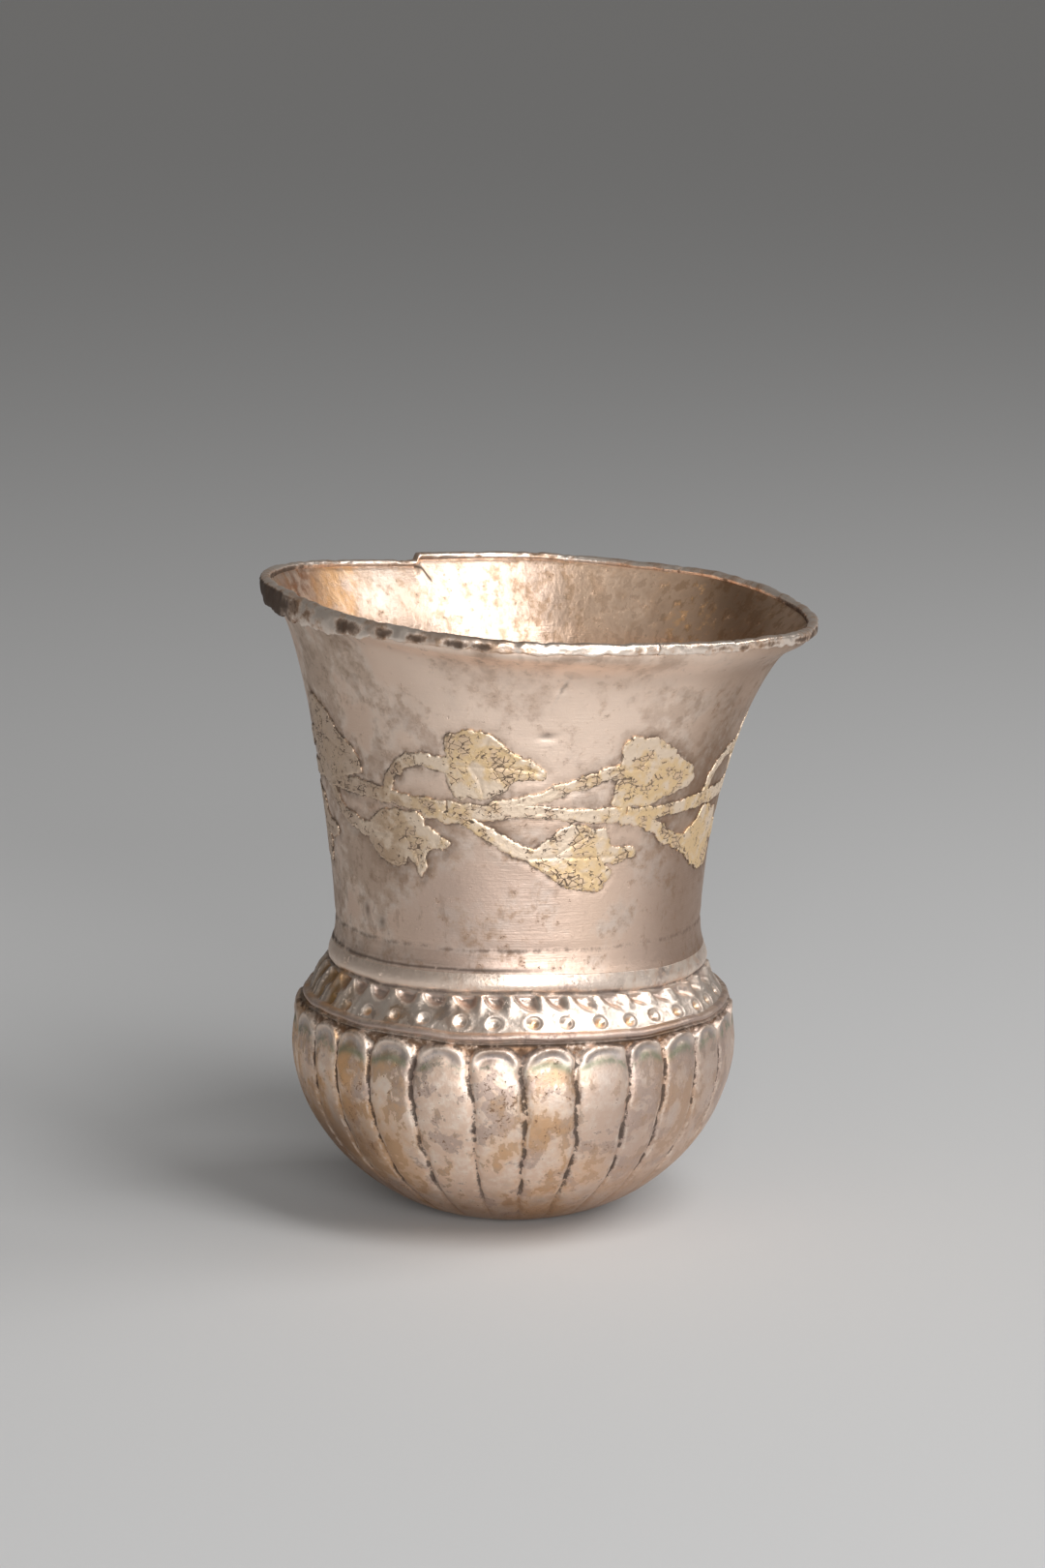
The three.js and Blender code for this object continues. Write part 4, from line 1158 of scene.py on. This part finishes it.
def folded_rim(finish):
    loop = np.array(STRIP) + (0, RIM)
    # The corners of the section are cut twice, which rounds them
    for _ in range(2):
        after = np.roll(loop, -1, axis=0)
        loop = np.stack([loop * 0.75 + after * 0.25, loop * 0.25 + after * 0.75], axis=1).reshape(-1, 2)
    half_gap = math.degrees(JOINT_GAP / 2 / RIM_RADIUS)
    turn = np.linspace(JOINT_TURN + half_gap, JOINT_TURN + 360 - half_gap, STRIP_COLUMNS)
    turns = np.broadcast_to(turn, (len(loop), STRIP_COLUMNS))
    radius = np.broadcast_to(loop[:, :1], turns.shape).copy()
    height = np.broadcast_to(loop[:, 1:], turns.shape).copy()
    depth_below = RIM - height
    luck = np.random.default_rng(12)
    spots = [(luck.uniform(0, 360), luck.uniform(0.9, 2.2), luck.uniform(-1.9, -0.2),
              luck.uniform(0.4, 1.0)) for _ in range(190)]
    # The lower edge is ragged, has peeled down at the left, and is drawn in and up at the far left
    low = ease(depth_below, 0.8, 2.2) * (radius > 51.2)
    drops = read_off(PEELING, turns)
    tatter = ragged(np.radians(turns) * 50, turns * 0, 7, 0.16 + 0.1 * drops / MOST_PEELED)
    drop = low * (drops + tatter)
    tip = rise_at(turns, -97, 13)
    radius += low * (0.3 * rise_at(turns, -41, 4) - 0.25 * drop - 1.15 * tip)
    height -= drop - 1.1 * low * tip
    hollow = np.zeros(turns.shape)
    for at, wide, up, depth in spots:
        across = np.radians(front_turn(turns - at)) * RIM_RADIUS
        hollow = np.maximum(hollow, depth * mark(across, height - RIM - up, wide, 1.0))
    tarnish = np.zeros(turns.shape)
    for at, wide, depth in TARNISH:
        tarnish = np.maximum(tarnish, depth * np.exp(-(front_turn(turns - at) / wide) ** 4))
    tarnish = tarnish * bump(depth_below, 1.45, 0.85)
    ends = np.maximum(read_off(LEFT_END, turns), read_off(RIGHT_END, turns))
    ends = ends * (0.25 + 0.85 * ease(depth_below, 0.1, 0.8))
    tarnish = np.maximum(tarnish, ends)
    tarnish = np.maximum(tarnish, 0.5 * ease(-np.cos(np.radians(turns)), 0.2, 0.5) * hollow)
    height += read_off(RIM_LIFTS, turns)
    places = bent(radius, turns, height)
    outer = ((loop[:, 1] > RIM - 0.6) | (loop[:, 0] > 52.0)) * 1.0
    mesh = shell("folded_rim", loop[:, 1], turns, places, looped=True, open_ends=True,
                 hollow=hollow, tarnish=tarnish, outer=outer[:, None])
    sizes = {"Dimple depth": 0.36, "Seed": 2.0}
    tree = relief_tree("hammered strip", sizes, binding_rule)
    return piece("folded_rim", mesh, tree, sizes, finish, "binding_silver", "rim_binding")


# The solder inside
def solder_rule(graph, sizes):
    return (place_of(graph).noise(180.0 + sizes["Seed"], 3.0) - 0.4) * sizes["Lumps"]


def solder_bead(finish):
    angle = np.linspace(0, 2 * np.pi, 12, endpoint=False)
    middle = COLLAR_TOP + BEAD + 0.05
    loop = np.stack([BEAD_RADIUS + BEAD * np.cos(angle), middle + BEAD * np.sin(angle)], axis=-1)
    turn = np.linspace(-180, 180, 360, endpoint=False)
    turns = np.broadcast_to(turn, (len(loop), len(turn)))
    places = bent(loop[:, :1], turns, np.broadcast_to(loop[:, 1:], turns.shape))
    mesh = shell("solder_bead", loop[:, 1], turns, places, looped=True)
    sizes = {"Lumps": 0.35, "Seed": 1.0}
    tree = relief_tree("solder bead", sizes, solder_rule)
    return piece("solder_bead", mesh, tree, sizes, finish, "solder", "neck_seam_solder")


# The camera, at the photo's viewing angle, and the studio
camera_data = bpy.data.cameras.new("camera")
camera_data.sensor_width = 36.0
camera_data.lens = 123.56
camera_data.clip_end = 20.0
camera = placed("camera", camera_data)
camera.location = (0.00177, -1.0, 0.28183)
camera.rotation_euler = (math.radians(78.7), 0.0, 0.0)
bpy.context.scene.camera = camera
bpy.context.scene.view_settings.view_transform = "Standard"


def lamp(name, place, target, width, height, power):
    """A softbox at a place in metres, turned to a target."""
    data = bpy.data.lights.new(name, "AREA")
    data.shape = "RECTANGLE"
    data.size = width
    data.size_y = height
    data.energy = power
    made = placed(name, data)
    made.location = place
    made.rotation_euler = (Vector(target) - Vector(place)).to_track_quat("-Z", "Y").to_euler()


lamp("key softbox", (0.53, -0.57, 0.98), (0.0, 0.0, 0.07), 0.42, 0.95, 8.3)
lamp("front softbox", (0.46, -2.58, 0.62), (0.0, 0.0, 0.06), 1.5, 1.0, 56.0)
lamp("side softbox", (0.95, 0.15, 0.75), (0.0, 0.0, 0.08), 0.5, 0.5, 3.0)


def studio():
    """A pale floor that runs on into a pale background."""
    world = bpy.data.worlds.new("studio")
    world.use_nodes = True
    world.node_tree.nodes.clear()
    graph = Graph(world.node_tree)
    seen = graph.node("ShaderNodeLightPath", {}, (), "Is Camera Ray")
    light = graph.node("ShaderNodeBackground", {}, {"Color": (1.0, 0.98, 0.95, 1), "Strength": 0.145})
    plain = graph.node("ShaderNodeBackground", {}, {"Color": tint(226, 226, 226), "Strength": 1.0})
    both = graph.node("ShaderNodeMixShader", {}, (seen, light, plain))
    graph.node("ShaderNodeOutputWorld", {}, {"Surface": both})
    bpy.context.scene.world = world
    mesh = bpy.data.meshes.new("floor")
    mesh.from_pydata([(-6, -3, 0), (6, -3, 0), (6, 9, 0), (-6, 9, 0)], [], [(0, 1, 2, 3)])
    floor = placed("floor", mesh)
    material, paint, place = new_finish("pale floor")
    paper = place.noise(900.0, 2.0)
    depth = place.part(1)
    coat = Coat(paint, tint(206, 206, 206))
    coat.lay(depth.rise(0.2, 4.5), tint(246, 246, 246))
    coat.lay(depth.fall(-2.4, -0.9), tint(120, 120, 120))
    coat.lay(paper * 0.12, tint(192, 192, 192))
    inputs = {"Base Color": coat.colour, "Roughness": 0.85}
    surface = paint.node("ShaderNodeBsdfPrincipled", {}, inputs)
    paint.node("ShaderNodeOutputMaterial", {}, {"Surface": surface})
    mesh.materials.append(material)


# The beaker
studio()
chased_bowl(bowl_finish())
foil_gold = foil_finish()
vine = vine_pieces()
hammered_neck(neck_finish(), vine)
folded_rim(binding_finish())
solder_bead(solder_finish())
foil_sizes = {"Border height": 0.03, "Vein depth": 0.1, "Seed": 0.0}
foil_tree = relief_tree("foil border and veins", foil_sizes, foil_rule)
for order, (node, distance, veins, start, reach) in enumerate(vine):
    foil_sizes["Seed"] = float(order)
    foil = foil_mesh(node, distance, veins, start, reach)
    piece(f"foil_{node}", foil, foil_tree, foil_sizes, foil_gold, "gold_foil", node)
